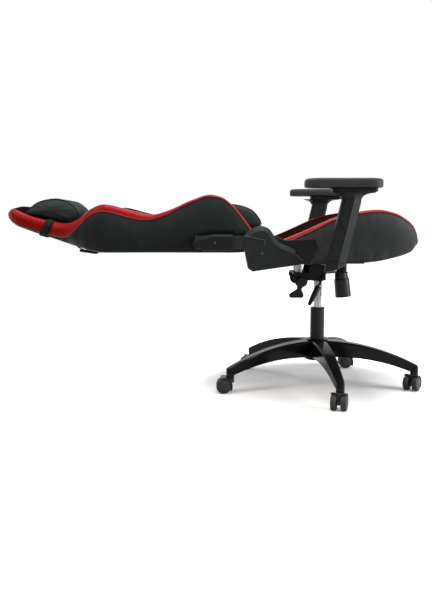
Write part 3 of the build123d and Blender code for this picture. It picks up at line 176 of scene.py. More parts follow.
def moulding(name, colour, rough, grain=0.0, grain_size=1.5, mottle=0.12, metal=0.0, scuff=0.0, specular=0.2):
    """A plastic or metal finish: mottled colour, uneven gloss, fine moulded grain and rubbed patches."""
    material = bpy.data.materials.new(name)
    tree, shader, _ = fresh_nodes(material)
    place = tree.nodes.new("ShaderNodeTexCoord").outputs["Object"]
    dark = [c * (1 - mottle) for c in colour]
    pale = [min(1.0, c * (1 + mottle) + mottle * PALE_DUST) for c in colour]
    _, tone = mottled(tree, place, dark, pale, scale=14.0, detail=5.0, spread=(0.32, 0.68))
    streak = add_node(tree, "ShaderNodeTexNoise", {"Vector": place, "Scale": 60.0, "Detail": 3.0})
    sway = GLOSS_SWAY + scuff * SCUFF_SWAY
    gloss = add_node(tree, "ShaderNodeMapRange", {
        "Value": streak.outputs["Fac"], "To Min": max(0.02, rough - sway), "To Max": min(1.0, rough + sway)})
    feed(tree, shader, {"Base Color": tone, "Roughness": gloss.outputs["Result"], "Metallic": metal,
                        "Specular IOR Level": specular})
    if grain:
        pits = add_node(tree, "ShaderNodeTexVoronoi", {"Vector": place, "Scale": 1.0 / (grain_size * MM)})
        bump = add_node(tree, "ShaderNodeBump", {
            "Strength": grain, "Distance": GRAIN_DEPTH, "Height": pits.outputs["Distance"]})
        feed(tree, shader, {"Normal": bump.outputs["Normal"]})
    return material


def add_piece(name, verts, faces, material, smooth=True):
    """A mesh object at the origin, in metres, with its faces smooth and its normals turned outwards."""
    mesh = bpy.data.meshes.new(name)
    mesh.from_pydata([tuple(v) for v in verts], [], [tuple(f) for f in faces])
    work = bmesh.new()
    work.from_mesh(mesh)
    bmesh.ops.remove_doubles(work, verts=work.verts, dist=1e-6)
    bmesh.ops.recalc_face_normals(work, faces=work.faces)
    for face in work.faces:
        face.smooth = smooth
    work.to_mesh(mesh)
    work.free()
    piece = bpy.data.objects.new(name, mesh)
    scene.collection.objects.link(piece)
    mesh.materials.append(material)
    return piece


def settle(piece):
    """Turn a piece's modifiers into its mesh."""
    graph = bpy.context.evaluated_depsgraph_get()
    done = bpy.data.meshes.new_from_object(piece.evaluated_get(graph))
    piece.modifiers.clear()
    old = piece.data
    piece.data = done
    bpy.data.meshes.remove(old)


def crease_by_angle(mesh, degrees):
    """Smooth every face and keep the edges that turn by more than this sharp."""
    work = bmesh.new()
    work.from_mesh(mesh)
    limit = math.radians(degrees)
    for face in work.faces:
        face.smooth = True
    for edge in work.edges:
        edge.smooth = len(edge.link_faces) == 2 and edge.calc_face_angle(0.0) < limit
    work.to_mesh(mesh)
    work.free()


def ease(piece, edge, turn=25.0, clamp=True):
    """Round a piece's hard edges by a width in mm and even out its shading."""
    crease_by_angle(piece.data, turn)
    if edge:
        bevel = piece.modifiers.new("edge", "BEVEL")
        bevel.width = edge * MM
        bevel.segments = 2
        bevel.limit_method = "ANGLE"
        bevel.angle_limit = math.radians(turn)
        bevel.use_clamp_overlap = clamp
    even = piece.modifiers.new("even", "WEIGHTED_NORMAL")
    even.keep_sharp = True
    settle(piece)
    return piece


def arc(a, b, c, steps):
    """Points on the circle through three points."""
    (ax, ay), (bx, by), (cx, cy) = a, b, c
    d = 2 * (ax * (by - cy) + bx * (cy - ay) + cx * (ay - by))
    if abs(d) < 1e-6:
        return [(ax + (cx - ax) * k / steps, ay + (cy - ay) * k / steps) for k in range(steps + 1)]
    squares = [p[0] ** 2 + p[1] ** 2 for p in (a, b, c)]
    ux = (squares[0] * (by - cy) + squares[1] * (cy - ay) + squares[2] * (ay - by)) / d
    uy = (squares[0] * (cx - bx) + squares[1] * (ax - cx) + squares[2] * (bx - ax)) / d
    start, middle, end = (math.atan2(p[1] - uy, p[0] - ux) for p in (a, b, c))
    turn = (end - start) % (2 * math.pi)
    if (middle - start) % (2 * math.pi) > turn:
        turn -= 2 * math.pi
    radius = math.hypot(ax - ux, ay - uy)
    angles = [start + turn * k / steps for k in range(steps + 1)]
    return [(ux + radius * math.cos(angle), uy + radius * math.sin(angle)) for angle in angles]


def lathe(profile, steps, axis="Z"):
    """Verts and faces of a profile of (radius, height) in mm, turned about an axis."""
    verts, faces = [], []
    for k in range(steps):
        angle = 2 * math.pi * k / steps
        for radius, height in profile:
            across, along = radius * MM * math.cos(angle), radius * MM * math.sin(angle)
            verts.append((across, along, height * MM) if axis == "Z" else (across, height * MM, along))
    count = len(profile)
    for k in range(steps):
        here, there = k * count, (k + 1) % steps * count
        for j in range(count - 1):
            faces.append((here + j, here + j + 1, there + j + 1, there + j))
    return verts, faces


def merge(name, pieces):
    """One object from several, with their materials kept."""
    work = bmesh.new()
    materials = []
    for piece in pieces:
        first = len(work.faces)
        offset = {}
        for k, material in enumerate(piece.data.materials):
            if material not in materials:
                materials.append(material)
            offset[k] = materials.index(material)
        work.from_mesh(piece.data)
        work.faces.ensure_lookup_table()
        for face in work.faces[first:]:
            face.material_index = offset[face.material_index]
    mesh = bpy.data.meshes.new(name)
    work.to_mesh(mesh)
    work.free()
    for material in materials:
        mesh.materials.append(material)
    for piece in pieces:
        bpy.data.objects.remove(piece)
    whole = bpy.data.objects.new(name, mesh)
    scene.collection.objects.link(whole)
    return whole


def skin_faces(rows, count):
    """Faces over rows of points, each row a closed ring of as many, with a face over each end."""
    faces = []
    for k in range(rows - 1):
        for j in range(count):
            step = (j + 1) % count
            faces.append((k * count + j, k * count + step, (k + 1) * count + step, (k + 1) * count + j))
    last = (rows - 1) * count
    return faces + [tuple(range(count)), tuple(last + j for j in range(count))]


ARMS = 5
FIRST_ARM = -13.75
STEM_CIRCLE = 333.0
ARM_END = 326.25
ARM_REACH = 344.5
ARM_TOP = ((0.0, 160.0), (163.0, 146.0), (ARM_REACH, 83.5))
ARM_LOW = ((0.0, 97.0), (163.0, 100.5), (ARM_END, 60.0))
ARM_HALVES = (28.0, 13.5, 10.6)
ARM_BEVEL = 5.0
ARM_WALL = 4.0
ARM_DRAFT = 1.0
ARM_STEPS = 28
HIDDEN_RINGS = 2
RIB_SPOTS = (114.0, 187.0, 260.0)
RIB_HALF = 1.5
TURNED_CREASE = 40.0
TIP_SIDES, HUB_SIDES = 40, 64
TIP_PROFILE = [(7.6, 50.4), (12.7, 50.4), (13.5, 51.2), (13.5, 78.4), (13.0, 79.6), (9.2, 83.5), (8.2, 84.0),
               (0.0, 84.0)]
HUB_PROFILE = [(24.5, 92.0), (40.0, 92.0), (41.0, 93.0), (41.0, 156.0), (40.2, 159.0), (37.5, 163.6),
               (35.0, 165.0), (29.0, 165.0), (28.0, 164.2), (25.6, 164.2)]


def arm_half(along):
    """Half an arm's width at a place along it."""
    return np.interp(along, (0, STEM_CIRCLE, ARM_REACH), ARM_HALVES)


def arm_ring(high, low):
    """One cross-section of an arm: bevelled top edges, straight sides and a hollow open below."""
    half, edge, wall = arm_half(high[0]), ARM_BEVEL, ARM_WALL
    right = [(low[0], half, low[1]), (high[0], half, high[1] - edge), (high[0], half - edge, high[1])]
    roof = [(high[0], half - wall - ARM_DRAFT, high[1] - wall), (low[0], half - wall, low[1])]
    left = [(x, -y, z) for x, y, z in reversed(right)]
    return right + left + [(x, -y, z) for x, y, z in reversed(roof)] + roof


def height_at(curve, spot):
    """The height of the curve's point nearest to a place along the arm."""
    return min(curve[:-1], key=lambda point: abs(point[0] - spot))[1]


def turned(name, profile, sides, place, material):
    """A profile turned about an upright axis and set in its place."""
    verts, faces = lathe(profile, sides)
    piece = add_piece(name, [place @ Vector(p) for p in verts], faces, material)
    crease_by_angle(piece.data, TURNED_CREASE)
    return piece


base_black = moulding("base_black_nylon", (0.0055, 0.006, 0.006), 0.15, mottle=0.2, scuff=0.3, specular=0.07)
highs, lows = arc(*ARM_TOP, ARM_STEPS), arc(*ARM_LOW, ARM_STEPS)
rings = [arm_ring(high, low) for high, low in zip(highs, lows)][HIDDEN_RINGS:]
shells = []
for index in range(ARMS):
    turn = Matrix.Rotation(math.radians(FIRST_ARM + index * 360 / ARMS), 4, "Z")
    verts = [turn @ Vector(p) * MM for ring in rings for p in ring]
    arm = add_piece(f"base_arm_{index}", verts, skin_faces(len(rings), len(rings[0])), base_black)
    shells.append(ease(arm, 0.8, turn=20.0))
    stem = turn @ Matrix.Translation((STEM_CIRCLE * MM, 0, 0))
    shells.append(turned(f"base_tip_{index}", TIP_PROFILE, TIP_SIDES, stem, base_black))
    for spot in RIB_SPOTS:
        low, high = height_at(lows, spot) + ARM_WALL, height_at(highs, spot) - ARM_WALL
        half = arm_half(spot) - ARM_WALL
        corners = [(spot + a * RIB_HALF, b * half, z) for z in (low, high)
                   for a, b in ((-1, -1), (1, -1), (1, 1), (-1, 1))]
        verts = [turn @ Vector(p) * MM for p in corners]
        shells.append(add_piece("base_rib", verts, skin_faces(2, 4), base_black, smooth=False))
shells.append(turned("base_hub", HUB_PROFILE, HUB_SIDES, Matrix.Identity(4), base_black))
star_base = merge("star_base_shell", shells)
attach(star_base, "base")
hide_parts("star_base")

# Casters: twin nylon wheels under a moulded hood, each hood on a steel stem pressed into the arm tip.
# The wheels have a domed face with a ring groove and a slightly crowned tread, dulled by the floor.
CASTER_TRAIL = 22 * MM
WHEEL_RADIUS = 25 * MM
CASTER_TURNS = (-125.0, 180.0, 180.0, 180.0, -108.0)
WHEEL_PROFILE = [
    (4.3, 6.5), (17.0, 6.5), (21.0, 6.7), (23.6, 7.9), (24.7, 10.0), (25.0, 13.0), (25.0, 18.0), (24.7, 21.0),
    (23.6, 23.2), (21.6, 24.4), (20.2, 24.7), (19.6, 24.2), (18.9, 24.2), (18.4, 24.8), (14.0, 25.4),
    (8.0, 25.9), (0.0, 26.1),
]
WHEEL_SIDES = 56
WELD = 2e-5
FLAT_TURN = 0.8


def recast(node, body, material, edge=0.8, turn=28.0):
    """A welded copy of a CAD node with its hard edges rounded, riding on the node's body in its place."""
    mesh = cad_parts[node].data.copy()
    mesh.materials.clear()
    work = bmesh.new()
    work.from_mesh(mesh)
    bmesh.ops.remove_doubles(work, verts=work.verts, dist=WELD)
    bmesh.ops.dissolve_limit(work, angle_limit=math.radians(FLAT_TURN), verts=work.verts, edges=work.edges)
    work.to_mesh(mesh)
    work.free()
    piece = bpy.data.objects.new(node + "_shell", mesh)
    scene.collection.objects.link(piece)
    mesh.materials.append(material)
    ease(piece, edge, turn, clamp=False)
    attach(piece, body)
    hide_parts(node)
    return piece


def mirrored_points(points):
    """The same points on the sitter's other side."""
    return [(x, -y, z) for x, y, z in points]


caster_black = moulding("caster_hood_nylon", (0.018, 0.018, 0.019), 0.42, grain=0.25, grain_size=0.9)
wheel_grey = moulding("caster_wheel_nylon", (0.035, 0.035, 0.037), 0.52, grain=0.3, grain_size=0.7, scuff=0.5)
wheel_verts, wheel_faces = lathe(WHEEL_PROFILE, WHEEL_SIDES, axis="Y")
for index, turn in enumerate(CASTER_TURNS):
    number = index + 1
    bearing = math.radians(FIRST_ARM + index * 360 / ARMS)
    stem = Matrix.Translation((STEM_CIRCLE * MM * math.cos(bearing), STEM_CIRCLE * MM * math.sin(bearing), 0))
    stand = (stem @ Matrix.Rotation(math.radians(turn), 4, "Z")
             @ Matrix.Translation((CASTER_TRAIL, 0, WHEEL_RADIUS)))
    recast(f"caster_hood_{number}", f"caster_{number}", caster_black, edge=0)
    for side, points in (("left", wheel_verts), ("right", mirrored_points(wheel_verts))):
        name = f"wheel_{number}_{side}"
        tread = add_piece(name + "_tread", [stand @ Vector(p) for p in points], wheel_faces, wheel_grey)
        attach(tread, name)
        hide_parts(name)

# Gas lift: a powder-coated column pressed into the hub, a plastic guide bush in its mouth and a polished
# chrome tube that rises out of it. The steel rod is hidden inside, as the stem sockets are in the arm tips.
column_black = moulding("column_powder_coat", (0.012, 0.013, 0.013), 0.34, grain=0.2, grain_size=0.6,
                        specular=0.1)
bare_steel = moulding("zinc_plated_steel", (0.20, 0.205, 0.21), 0.34, metal=1.0, mottle=0.08, scuff=0.5)
chrome = moulding("lift_chrome", (0.185, 0.187, 0.19), 0.12, metal=1.0, mottle=0.05, scuff=0.2)
bush_black = moulding("bush_acetal", (0.02, 0.02, 0.02), 0.45, grain=0.1)
recast("gas_tube", "base", column_black, edge=1.0)
recast("tube_bush", "base", bush_black, edge=0.4)
recast("piston_rod", "base", bare_steel, edge=0.3)
recast("stem_sockets", "base", bare_steel, edge=0.3)
recast("gas_cylinder", "lift", chrome, edge=0.5)

# Tilt mechanism: a pressed steel plate on the swivel bracket's trunnions, bolted to the seat through
# four sleeves, the front pair blackened. Black powder coat with a fine orange-peel texture.
pressed_black = moulding("mechanism_powder_coat", (0.008, 0.008, 0.0085), 0.36, grain=0.35, grain_size=0.8,
                         specular=0.07)
knob_black = moulding("knob_satin", (0.012, 0.012, 0.0125), 0.33, grain=0.12, grain_size=0.6, specular=0.14)
lever_black = moulding("lever_plastic", (0.011, 0.011, 0.0115), 0.42, grain=0.3, grain_size=0.9, specular=0.1)
recast("swivel_bracket", "swivel", pressed_black, edge=0.6)
recast("tilt_plate", "seat", pressed_black, edge=0.7)
sleeves = recast("seat_spacers", "seat", bare_steel, edge=0.5)
sleeves.data.materials.append(pressed_black)
for polygon in sleeves.data.polygons:
    polygon.material_index = int(polygon.center.x > 0)
recast("spring_cup", "seat", knob_black, edge=0.8)
recast("tension_knob", "tension_knob", knob_black, edge=0.6, turn=40)
recast("height_lever", "height_lever", pressed_black, edge=0, turn=40)
recast("height_grip", "height_lever", lever_black, edge=0, turn=40)
recast("tilt_lock_lever", "tilt_lock_lever", lever_black, edge=1.8)

# Steel that carries the soft parts: seat frame, back frame and the armrest brackets, welded from
# folded strip and dipped in black paint.
frame_paint = moulding("frame_black_paint", (0.016, 0.016, 0.017), 0.45, grain=0.2, grain_size=1.2, scuff=0.5)
recast("seat_frame", "seat", frame_paint, edge=0.5)
recast("back_frame", "back", frame_paint, edge=0.5)
for side in ("right", "left"):
    recast(f"arm_bracket_{side}", "seat", frame_paint, edge=0.6)
    recast(f"back_arm_{side}", "back", frame_paint, edge=0.8)

# Hinge covers: moulded shells over the recline hinge. A broad bevel runs over the arch and down the
# front, with a raised step line and one recessed screw on the flat of each. The step line is in a paler
# grey than the cover, a painted highlight along its edge.
COVER_BACK_Y = 265.9
COVER_FACE_Y = 284.9
COVER_BROAD = 14.0
COVER_FALL = 13.0
COVER_TOE = 3
COVER_EASE = 18
COVER_FINE = 2.2
COVER_CORNER = 4
CURVE_STEPS = 6
COVER_FLAT = [(-269, 529), (-269, 482), (-258, 428), (-243, 418), (-99, 439), (-90, 443), (-85, 453)]
COVER_CURVE = [(-85, 453), (-99, 466), (-115, 486), (-135, 497), (-155, 505), (-168, 517), (-179, 532),
               (-193, 550), (-216, 559), (-239, 554), (-257, 542), (-269, 529)]
FAR_CORNER = [(-269, 529), (-269, 481), (-246, 456), (-238, 419)]
STEP_LINE = [(-262, 528), (-214, 516.5), (-207, 514), (-207, 496)]
STEP_WIDTH = 2.4
STEP_RISE = 1.4
STEP_SINK = 0.3
STEP_FLAT = 0.45


def smooth_run(points, steps):
    """Points on a Catmull-Rom curve through the given ones."""
    ends = [np.array(p, float) for p in points]
    ends = [2 * ends[0] - ends[1]] + ends + [2 * ends[-1] - ends[-2]]
    run = []
    for a, b, c, d in zip(ends, ends[1:], ends[2:], ends[3:]):
        for k in range(steps):
            t = k / steps
            run.append(0.5 * (2 * b + (c - a) * t + (2 * a - 5 * b + 4 * c - d) * t**2
                              + (3 * b - a - 3 * c + d) * t**3))
    run.append(ends[-2])
    return run


def inset(outline, widths):
    """A closed outline moved inwards, edge by edge, by the width given for each edge."""
    points = [np.array(p, float) for p in outline]
    area = sum(a[0] * b[1] - b[0] * a[1] for a, b in zip(points, points[1:] + points[:1]))
    turn = 1.0 if area > 0 else -1.0
    lines = []
    for a, b, width in zip(points, points[1:] + points[:1], widths):
        run = (b - a) / np.linalg.norm(b - a)
        normal = turn * np.array([-run[1], run[0]])
        lines.append((a + normal * width, run))
    moved = []
    for (p, u), (q, v) in zip(lines[-1:] + lines[:-1], lines):
        cross = u[0] * v[1] - u[1] * v[0]
        if abs(cross) < 0.05:
            moved.append((q + p + u * np.dot(q - p, u)) / 2)
        else:
            moved.append(p + u * ((q - p)[0] * v[1] - (q - p)[1] * v[0]) / cross)
    return moved


def bevelled_slab(name, outline, face, depths, side, material):
    """A slab on edge in the X-Z plane: its outline at the back and the edge, a smaller face in front."""
    rings = zip((outline, outline, face), depths)
    verts = [(x * MM, side * depth * MM, z * MM) for ring, depth in rings for x, z in ring]
    return add_piece(name, verts, skin_faces(len(depths), len(outline)), material, smooth=False)


def ribbon(name, line, width, low, high, side, material):
    """A thin raised line on a cover's face, following points in the X-Z plane."""
    points = [np.array(p, float) for p in line]
    section = ((-1, low), (-STEP_FLAT, high), (STEP_FLAT, high), (1, low))
    verts = []
    for k, point in enumerate(points):
        run = points[min(k + 1, len(points) - 1)] - points[max(k - 1, 0)]
        normal = np.array([-run[1], run[0]]) / np.linalg.norm(run)
        for shift, depth in section:
            spot = point + normal * width / 2 * shift
            verts.append((spot[0] * MM, side * depth * MM, spot[1] * MM))
    return add_piece(name, verts, skin_faces(len(points), len(section)), material, smooth=False)


cover_grey = moulding("hinge_cover_plastic", (0.0265, 0.030, 0.031), 0.40, grain=0.3, grain_size=1.0,
                      specular=0.05)
# Paler grey for the raised step line: a painted highlight standing in for the light its edge catches.
step_highlight_paint = moulding("hinge_step_painted_highlight", (0.085, 0.09, 0.092), 0.36, grain=0.2, specular=0.1)
SIDES = (("right", -1), ("left", 1))
COVER_DEPTHS = (COVER_BACK_Y, COVER_FACE_Y - COVER_FALL, COVER_FACE_Y)
flat_edges = len(COVER_FLAT) - 1
for side, way in SIDES:
    corner = COVER_FLAT[:COVER_CORNER] if side == "right" else FAR_CORNER
    curve = [tuple(p) for p in smooth_run(COVER_CURVE, CURVE_STEPS)[:-1]]
    cover_outline = corner + COVER_FLAT[COVER_CORNER:-1] + curve
    curve_edges = len(cover_outline) - flat_edges
    cover_widths = [COVER_FINE] * flat_edges
    for k in range(curve_edges):
        share = min(1.0, (k + COVER_TOE) / COVER_EASE, (curve_edges - k) / COVER_TOE)
        cover_widths.append(COVER_BROAD * share)
    cover = bevelled_slab(f"hinge_cover_{side}_shell", cover_outline, inset(cover_outline, cover_widths),
                          COVER_DEPTHS, way, cover_grey)
    ease(cover, 1.0)
    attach(cover, "seat")
    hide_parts(f"hinge_cover_{side}")
    step = ribbon(f"hinge_step_{side}", STEP_LINE, STEP_WIDTH, COVER_FACE_Y - STEP_SINK,
                  COVER_FACE_Y + STEP_RISE, way, step_highlight_paint)
    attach(step, "seat")

# Seat-side hinge plates: steel cheeks bolted to the seat frame, each under a black moulded cap whose top
# and front edges are bevelled.
HINGE_PLATE_Y = 255.3
PLATE_EDGE = [(-218, 543), (-190, 536), (-143, 516), (-45, 521), (-36, 498), (-60, 440), (-205, 440),
              (-236, 476), (-251, 492), (-253, 515), (-242, 534)]
PLATE_WIDTHS = [1.0, 2.0, 3.6, 3.6, 2.0] + [1.0] * 6
PLATE_DEPTHS = (HINGE_PLATE_Y, HINGE_PLATE_Y + 2.0, HINGE_PLATE_Y + 5.0)
bracket_black = moulding("bracket_cover_plastic", (0.016, 0.0175, 0.0175), 0.36, grain=0.3, grain_size=1.0,
                         specular=0.06)
plate_face = inset(PLATE_EDGE, PLATE_WIDTHS)
for side, way in SIDES:
    cheek = bevelled_slab(f"hinge_plate_{side}_cheek", PLATE_EDGE, plate_face, PLATE_DEPTHS, way,
                          bracket_black)
    ease(cheek, 0.6)
    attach(cheek, "seat")
    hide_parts(f"hinge_plate_{side}")

# Back-arm covers: long caps screwed over the steel arms where they are let into the backrest's flank,
# drawn to a bevelled point at the rear.
ARM_OUT_Y = 265.6
CAP_FACE_Y = 274.6
CAP_FALL = 5.5
CAP_DEPTHS = (ARM_OUT_Y, CAP_FACE_Y - CAP_FALL, CAP_FACE_Y)
CAP_EDGE = [(-304, 483), (-304, 533), (-371, 533), (-420, 520), (-427, 508), (-425, 497), (-397, 483)]
CAP_WIDTHS = [1.2, 8.0, 9.0, 10.0, 9.0, 7.0, 4.0]
cap_face = inset(CAP_EDGE, CAP_WIDTHS)
cap_black = moulding("back_cover_plastic", (0.017, 0.0198, 0.0192), 0.40, grain=0.3, grain_size=1.0,
                     specular=0.05)
for side, way in SIDES:
    cap = bevelled_slab(f"back_cover_{side}_cap", CAP_EDGE, cap_face, CAP_DEPTHS, way, cap_black)
    ease(cap, 1.0)
    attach(cap, "back")
    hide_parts(f"back_cover_{side}")

# Screws: one sunk socket head in the flat of each hinge cover and each back-arm cover, in black zinc,
# driven through the cover into the steel behind it.
SCREW_RADIUS = 3.0
SCREW_DEPTH = 1.6
SCREW_SIDES, SOCKET_SIDES = 20, 6
SOCKET_SHARE, SOCKET_RISE = 0.55, 1.25
SCREW_PROUD = 0.1
COVER_SCREW = (-214, 475)
CAP_SCREW = (-359, 507)


def new_group(title, shape, sizes, result):
    """A geometry node tree with a mesh going in, named sizes in mm and a mesh coming out."""
    tree = bpy.data.node_groups.new(title, "GeometryNodeTree")
    tree.interface.new_socket(shape, in_out="INPUT", socket_type="NodeSocketGeometry")
    for name, size in sizes.items():
        socket = tree.interface.new_socket(name, in_out="INPUT", socket_type="NodeSocketFloat")
        socket.default_value = size * MM
    tree.interface.new_socket(result, in_out="OUTPUT", socket_type="NodeSocketGeometry")
    return tree, tree.nodes.new("NodeGroupInput").outputs, tree.nodes.new("NodeGroupOutput")


def screw_tree():
    """Node tree that sets a screw head, a rim round a sunk socket, on every point of its mesh."""
    sizes = {"Radius": SCREW_RADIUS, "Depth": SCREW_DEPTH}
    tree, inlet, outlet = new_group("screw_heads", "Spots", sizes, "Screws")
    head = tree.nodes.new("GeometryNodeJoinGeometry")
    for sides, wide, deep, finish in ((SOCKET_SIDES, SOCKET_SHARE, SOCKET_RISE, screw_dark),
                                      (SCREW_SIDES, 1.0, 1.0, screw_zinc)):
        radius = add_node(tree, "ShaderNodeMath", {0: inlet["Radius"], 1: wide}, operation="MULTIPLY")
        depth = add_node(tree, "ShaderNodeMath", {0: inlet["Depth"], 1: deep}, operation="MULTIPLY")
        disc = add_node(tree, "GeometryNodeMeshCylinder", {
            "Vertices": sides, "Radius": radius.outputs[0], "Depth": depth.outputs[0]})
        paint = add_node(tree, "GeometryNodeSetMaterial", {
            "Geometry": disc.outputs["Mesh"], "Material": finish})
        feed(tree, head, {0: paint.outputs[0]})
    lay = add_node(tree, "GeometryNodeTransform", {
        "Geometry": head.outputs[0], "Rotation": (math.radians(90), 0, 0)})
    spread = add_node(tree, "GeometryNodeInstanceOnPoints", {
        "Points": inlet["Spots"], "Instance": lay.outputs[0]})
    real = add_node(tree, "GeometryNodeRealizeInstances", {0: spread.outputs[0]})
    feed(tree, outlet, {0: real.outputs[0]})
    return tree


def grow(name, points, edges, group):
    """The plain mesh that a geometry node tree makes on points in metres and the edges between them."""
    mesh = bpy.data.meshes.new(name)
    mesh.from_pydata([tuple(p) for p in points], edges, [])
    piece = bpy.data.objects.new(name, mesh)
    scene.collection.objects.link(piece)
    piece.modifiers.new("grown", "NODES").node_group = group
    settle(piece)
    return piece


screw_zinc = moulding("screw_black_zinc", (0.10, 0.10, 0.105), 0.30, metal=1.0)
screw_dark = moulding("screw_socket", (0.01, 0.01, 0.01), 0.5)
screws = screw_tree()
for name, (x, z), face_y, body in (("hinge_cover_screws", COVER_SCREW, COVER_FACE_Y, "seat"),
                                   ("back_cover_screws", CAP_SCREW, CAP_FACE_Y, "back")):
    spots = [(x * MM, way * (face_y + SCREW_PROUD) * MM, z * MM) for _, way in SIDES]
    heads = grow(name, spots, [], screws)
    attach(heads, body)

# Seat cushion: moulded foam under sewn leatherette. Black flanks, painted paler than the backrest's same
# leatherette as painted light, a glossy red band over each bolster ridge and a black quilted middle, with
# piping along the seam under the red band.
SEAT_X = [-157, -96, -34, 21, 83, 150, 206, 240, 262, 272, 278, 281]
SEAT_HALF = [240, 250, 255, 255, 255, 255, 254, 249, 241, 233, 224, 214]
SEAT_UNDER = [440, 440, 440, 440, 440, 445, 457, 467, 477, 488, 499, 510]
SEAT_RIDGE = [511, 536, 564, 587, 602, 609, 598, 580, 563, 549, 536, 525]
SEAT_FLOOR = [468, 480, 502, 522, 544, 564, 570, 564, 554, 545, 534, 524]
SEAT_SEAM = [498, 524, 554, 580, 595.5, 602.5, 592, 572.5, 552.5, 529, 501, 508]
SEAT_CHANNELS = (-62.0, 36.0, 128.0)
SEAT_CUTS = list(range(-157, 240, 11)) + [244, 250, 256, 261, 264, 266, 268, 270, 272, 275, 278, 281]
BASE_SHARE, FLANK_SHARE, SHOULDER_SHARE = 0.9, 0.5, 0.965
RIDGE_SHARE, LIP_SHARE, FOOT_SHARE = 0.91, 0.84, 0.6
RIDGE_ROUND = 0.1
RED_OVER = 0.35
CROWN = 4.0
CROWN_SHARE = 0.75
SEAM_OFF_BASE, SEAM_OFF_CREST = 2.0, 4.0
OUTSIDE_STEPS, RIDGE_STEPS, FLOOR_STEPS = 240, 180, 16
ZONE_CUTS = {"base": 6, "side": 12, "band": 7, "roll": 4, "well": 6, "middle": 8}
ZONE_SLOTS = {"side": 0, "band": 1, "roll": 2, "well": 3, "middle": 4, "base": 5}
RING = 2 * sum(ZONE_CUTS.values())
END_CAPS = ((0.72, 0.985, 0.75), (0.3, 0.96, 1.0))
END_HOLD = 4.0
PUFF_FRAMES = 20
PUFF_PRESSURE = 4.0
PUFF_CAPS = {"base": 1.5, "side": 1.6, "band": 2.0, "roll": 2.0, "well": 4.5, "middle": 7.0}
CHANNEL_HALF = 5.0
HIDE_SWAY = 0.07
CORD_SIDES = 8


def smooth_table(xs, ys):
    """A shape-keeping smooth curve through a table, for reading at any x between its ends."""
    order = np.argsort(xs)
    x, y = np.array(xs, float)[order], np.array(ys, float)[order]
    gaps = np.diff(x)
    rise = np.diff(y) / gaps
    slope = np.zeros(len(x))
    slope[0], slope[-1] = rise[0], rise[-1]
    for k in range(1, len(x) - 1):
        if rise[k - 1] * rise[k] > 0:
            near, far = 2 * gaps[k] + gaps[k - 1], gaps[k] + 2 * gaps[k - 1]
            slope[k] = (near + far) / (near / rise[k - 1] + far / rise[k])

    def read(at):
        k = int(np.clip(np.searchsorted(x, at) - 1, 0, len(gaps) - 1))
        t = (at - x[k]) / gaps[k]
        return (y[k] * (1 + 2 * t) * (1 - t) ** 2 + slope[k] * gaps[k] * t * (1 - t) ** 2
                + y[k + 1] * t**2 * (3 - 2 * t) + slope[k + 1] * gaps[k] * t**2 * (t - 1))
    return read


def spaced(points, cuts):
    """The same path with points at even distances along it."""
    path = np.array(points, float)
    length = np.concatenate([[0], np.cumsum(np.linalg.norm(np.diff(path, axis=0), axis=1))])
    at = np.linspace(0, length[-1], cuts + 1)
    return np.stack([np.interp(at, length, path[:, k]) for k in range(path.shape[1])], axis=1)


def bolster_half(half, under, crest, floor, seam):
    """Half a cushion's cross-section from underside to floor, its points spread zone by zone."""
    rise = crest - under
    corner, flank = (half * BASE_SHARE, under), (half, under + rise * FLANK_SHARE)
    shoulder, ridge = (half * SHOULDER_SHARE, crest - rise * RIDGE_ROUND), (half * RIDGE_SHARE, crest)
    lip, foot = (half * LIP_SHARE, crest - (crest - floor) * RIDGE_ROUND), (half * FOOT_SHARE, floor)
    outside = arc(corner, flank, shoulder, OUTSIDE_STEPS) + arc(shoulder, ridge, lip, RIDGE_STEPS)[1:]
    seam = min(max(seam, under + SEAM_OFF_BASE), crest - SEAM_OFF_CREST)
    cut = next(k for k, point in enumerate(outside) if point[1] >= seam)
    top = max(range(len(outside)), key=lambda k: outside[k][1])
    top += int((len(outside) - 1 - top) * RED_OVER)
    swell = (half * FOOT_SHARE / 2, floor + CROWN * CROWN_SHARE)
    floor_arc = arc(foot, swell, (0, floor + CROWN), FLOOR_STEPS)
    zones = {"base": [(0, under), corner], "side": outside[:cut + 1], "band": outside[cut:top + 1],
             "roll": outside[top:], "well": [lip, foot], "middle": floor_arc}
    runs = [spaced(zones[name], ZONE_CUTS[name]) for name in ZONE_CUTS]
    return np.concatenate([run[:-1] for run in runs[:-1]] + [runs[-1]])


def zone_of(index):
    """The zone that holds a segment of a half section, and whether the segment's start is its edge."""
    for name, cuts in ZONE_CUTS.items():
        if index < cuts:
            return name, index == 0
        index -= cuts
    return "middle", True


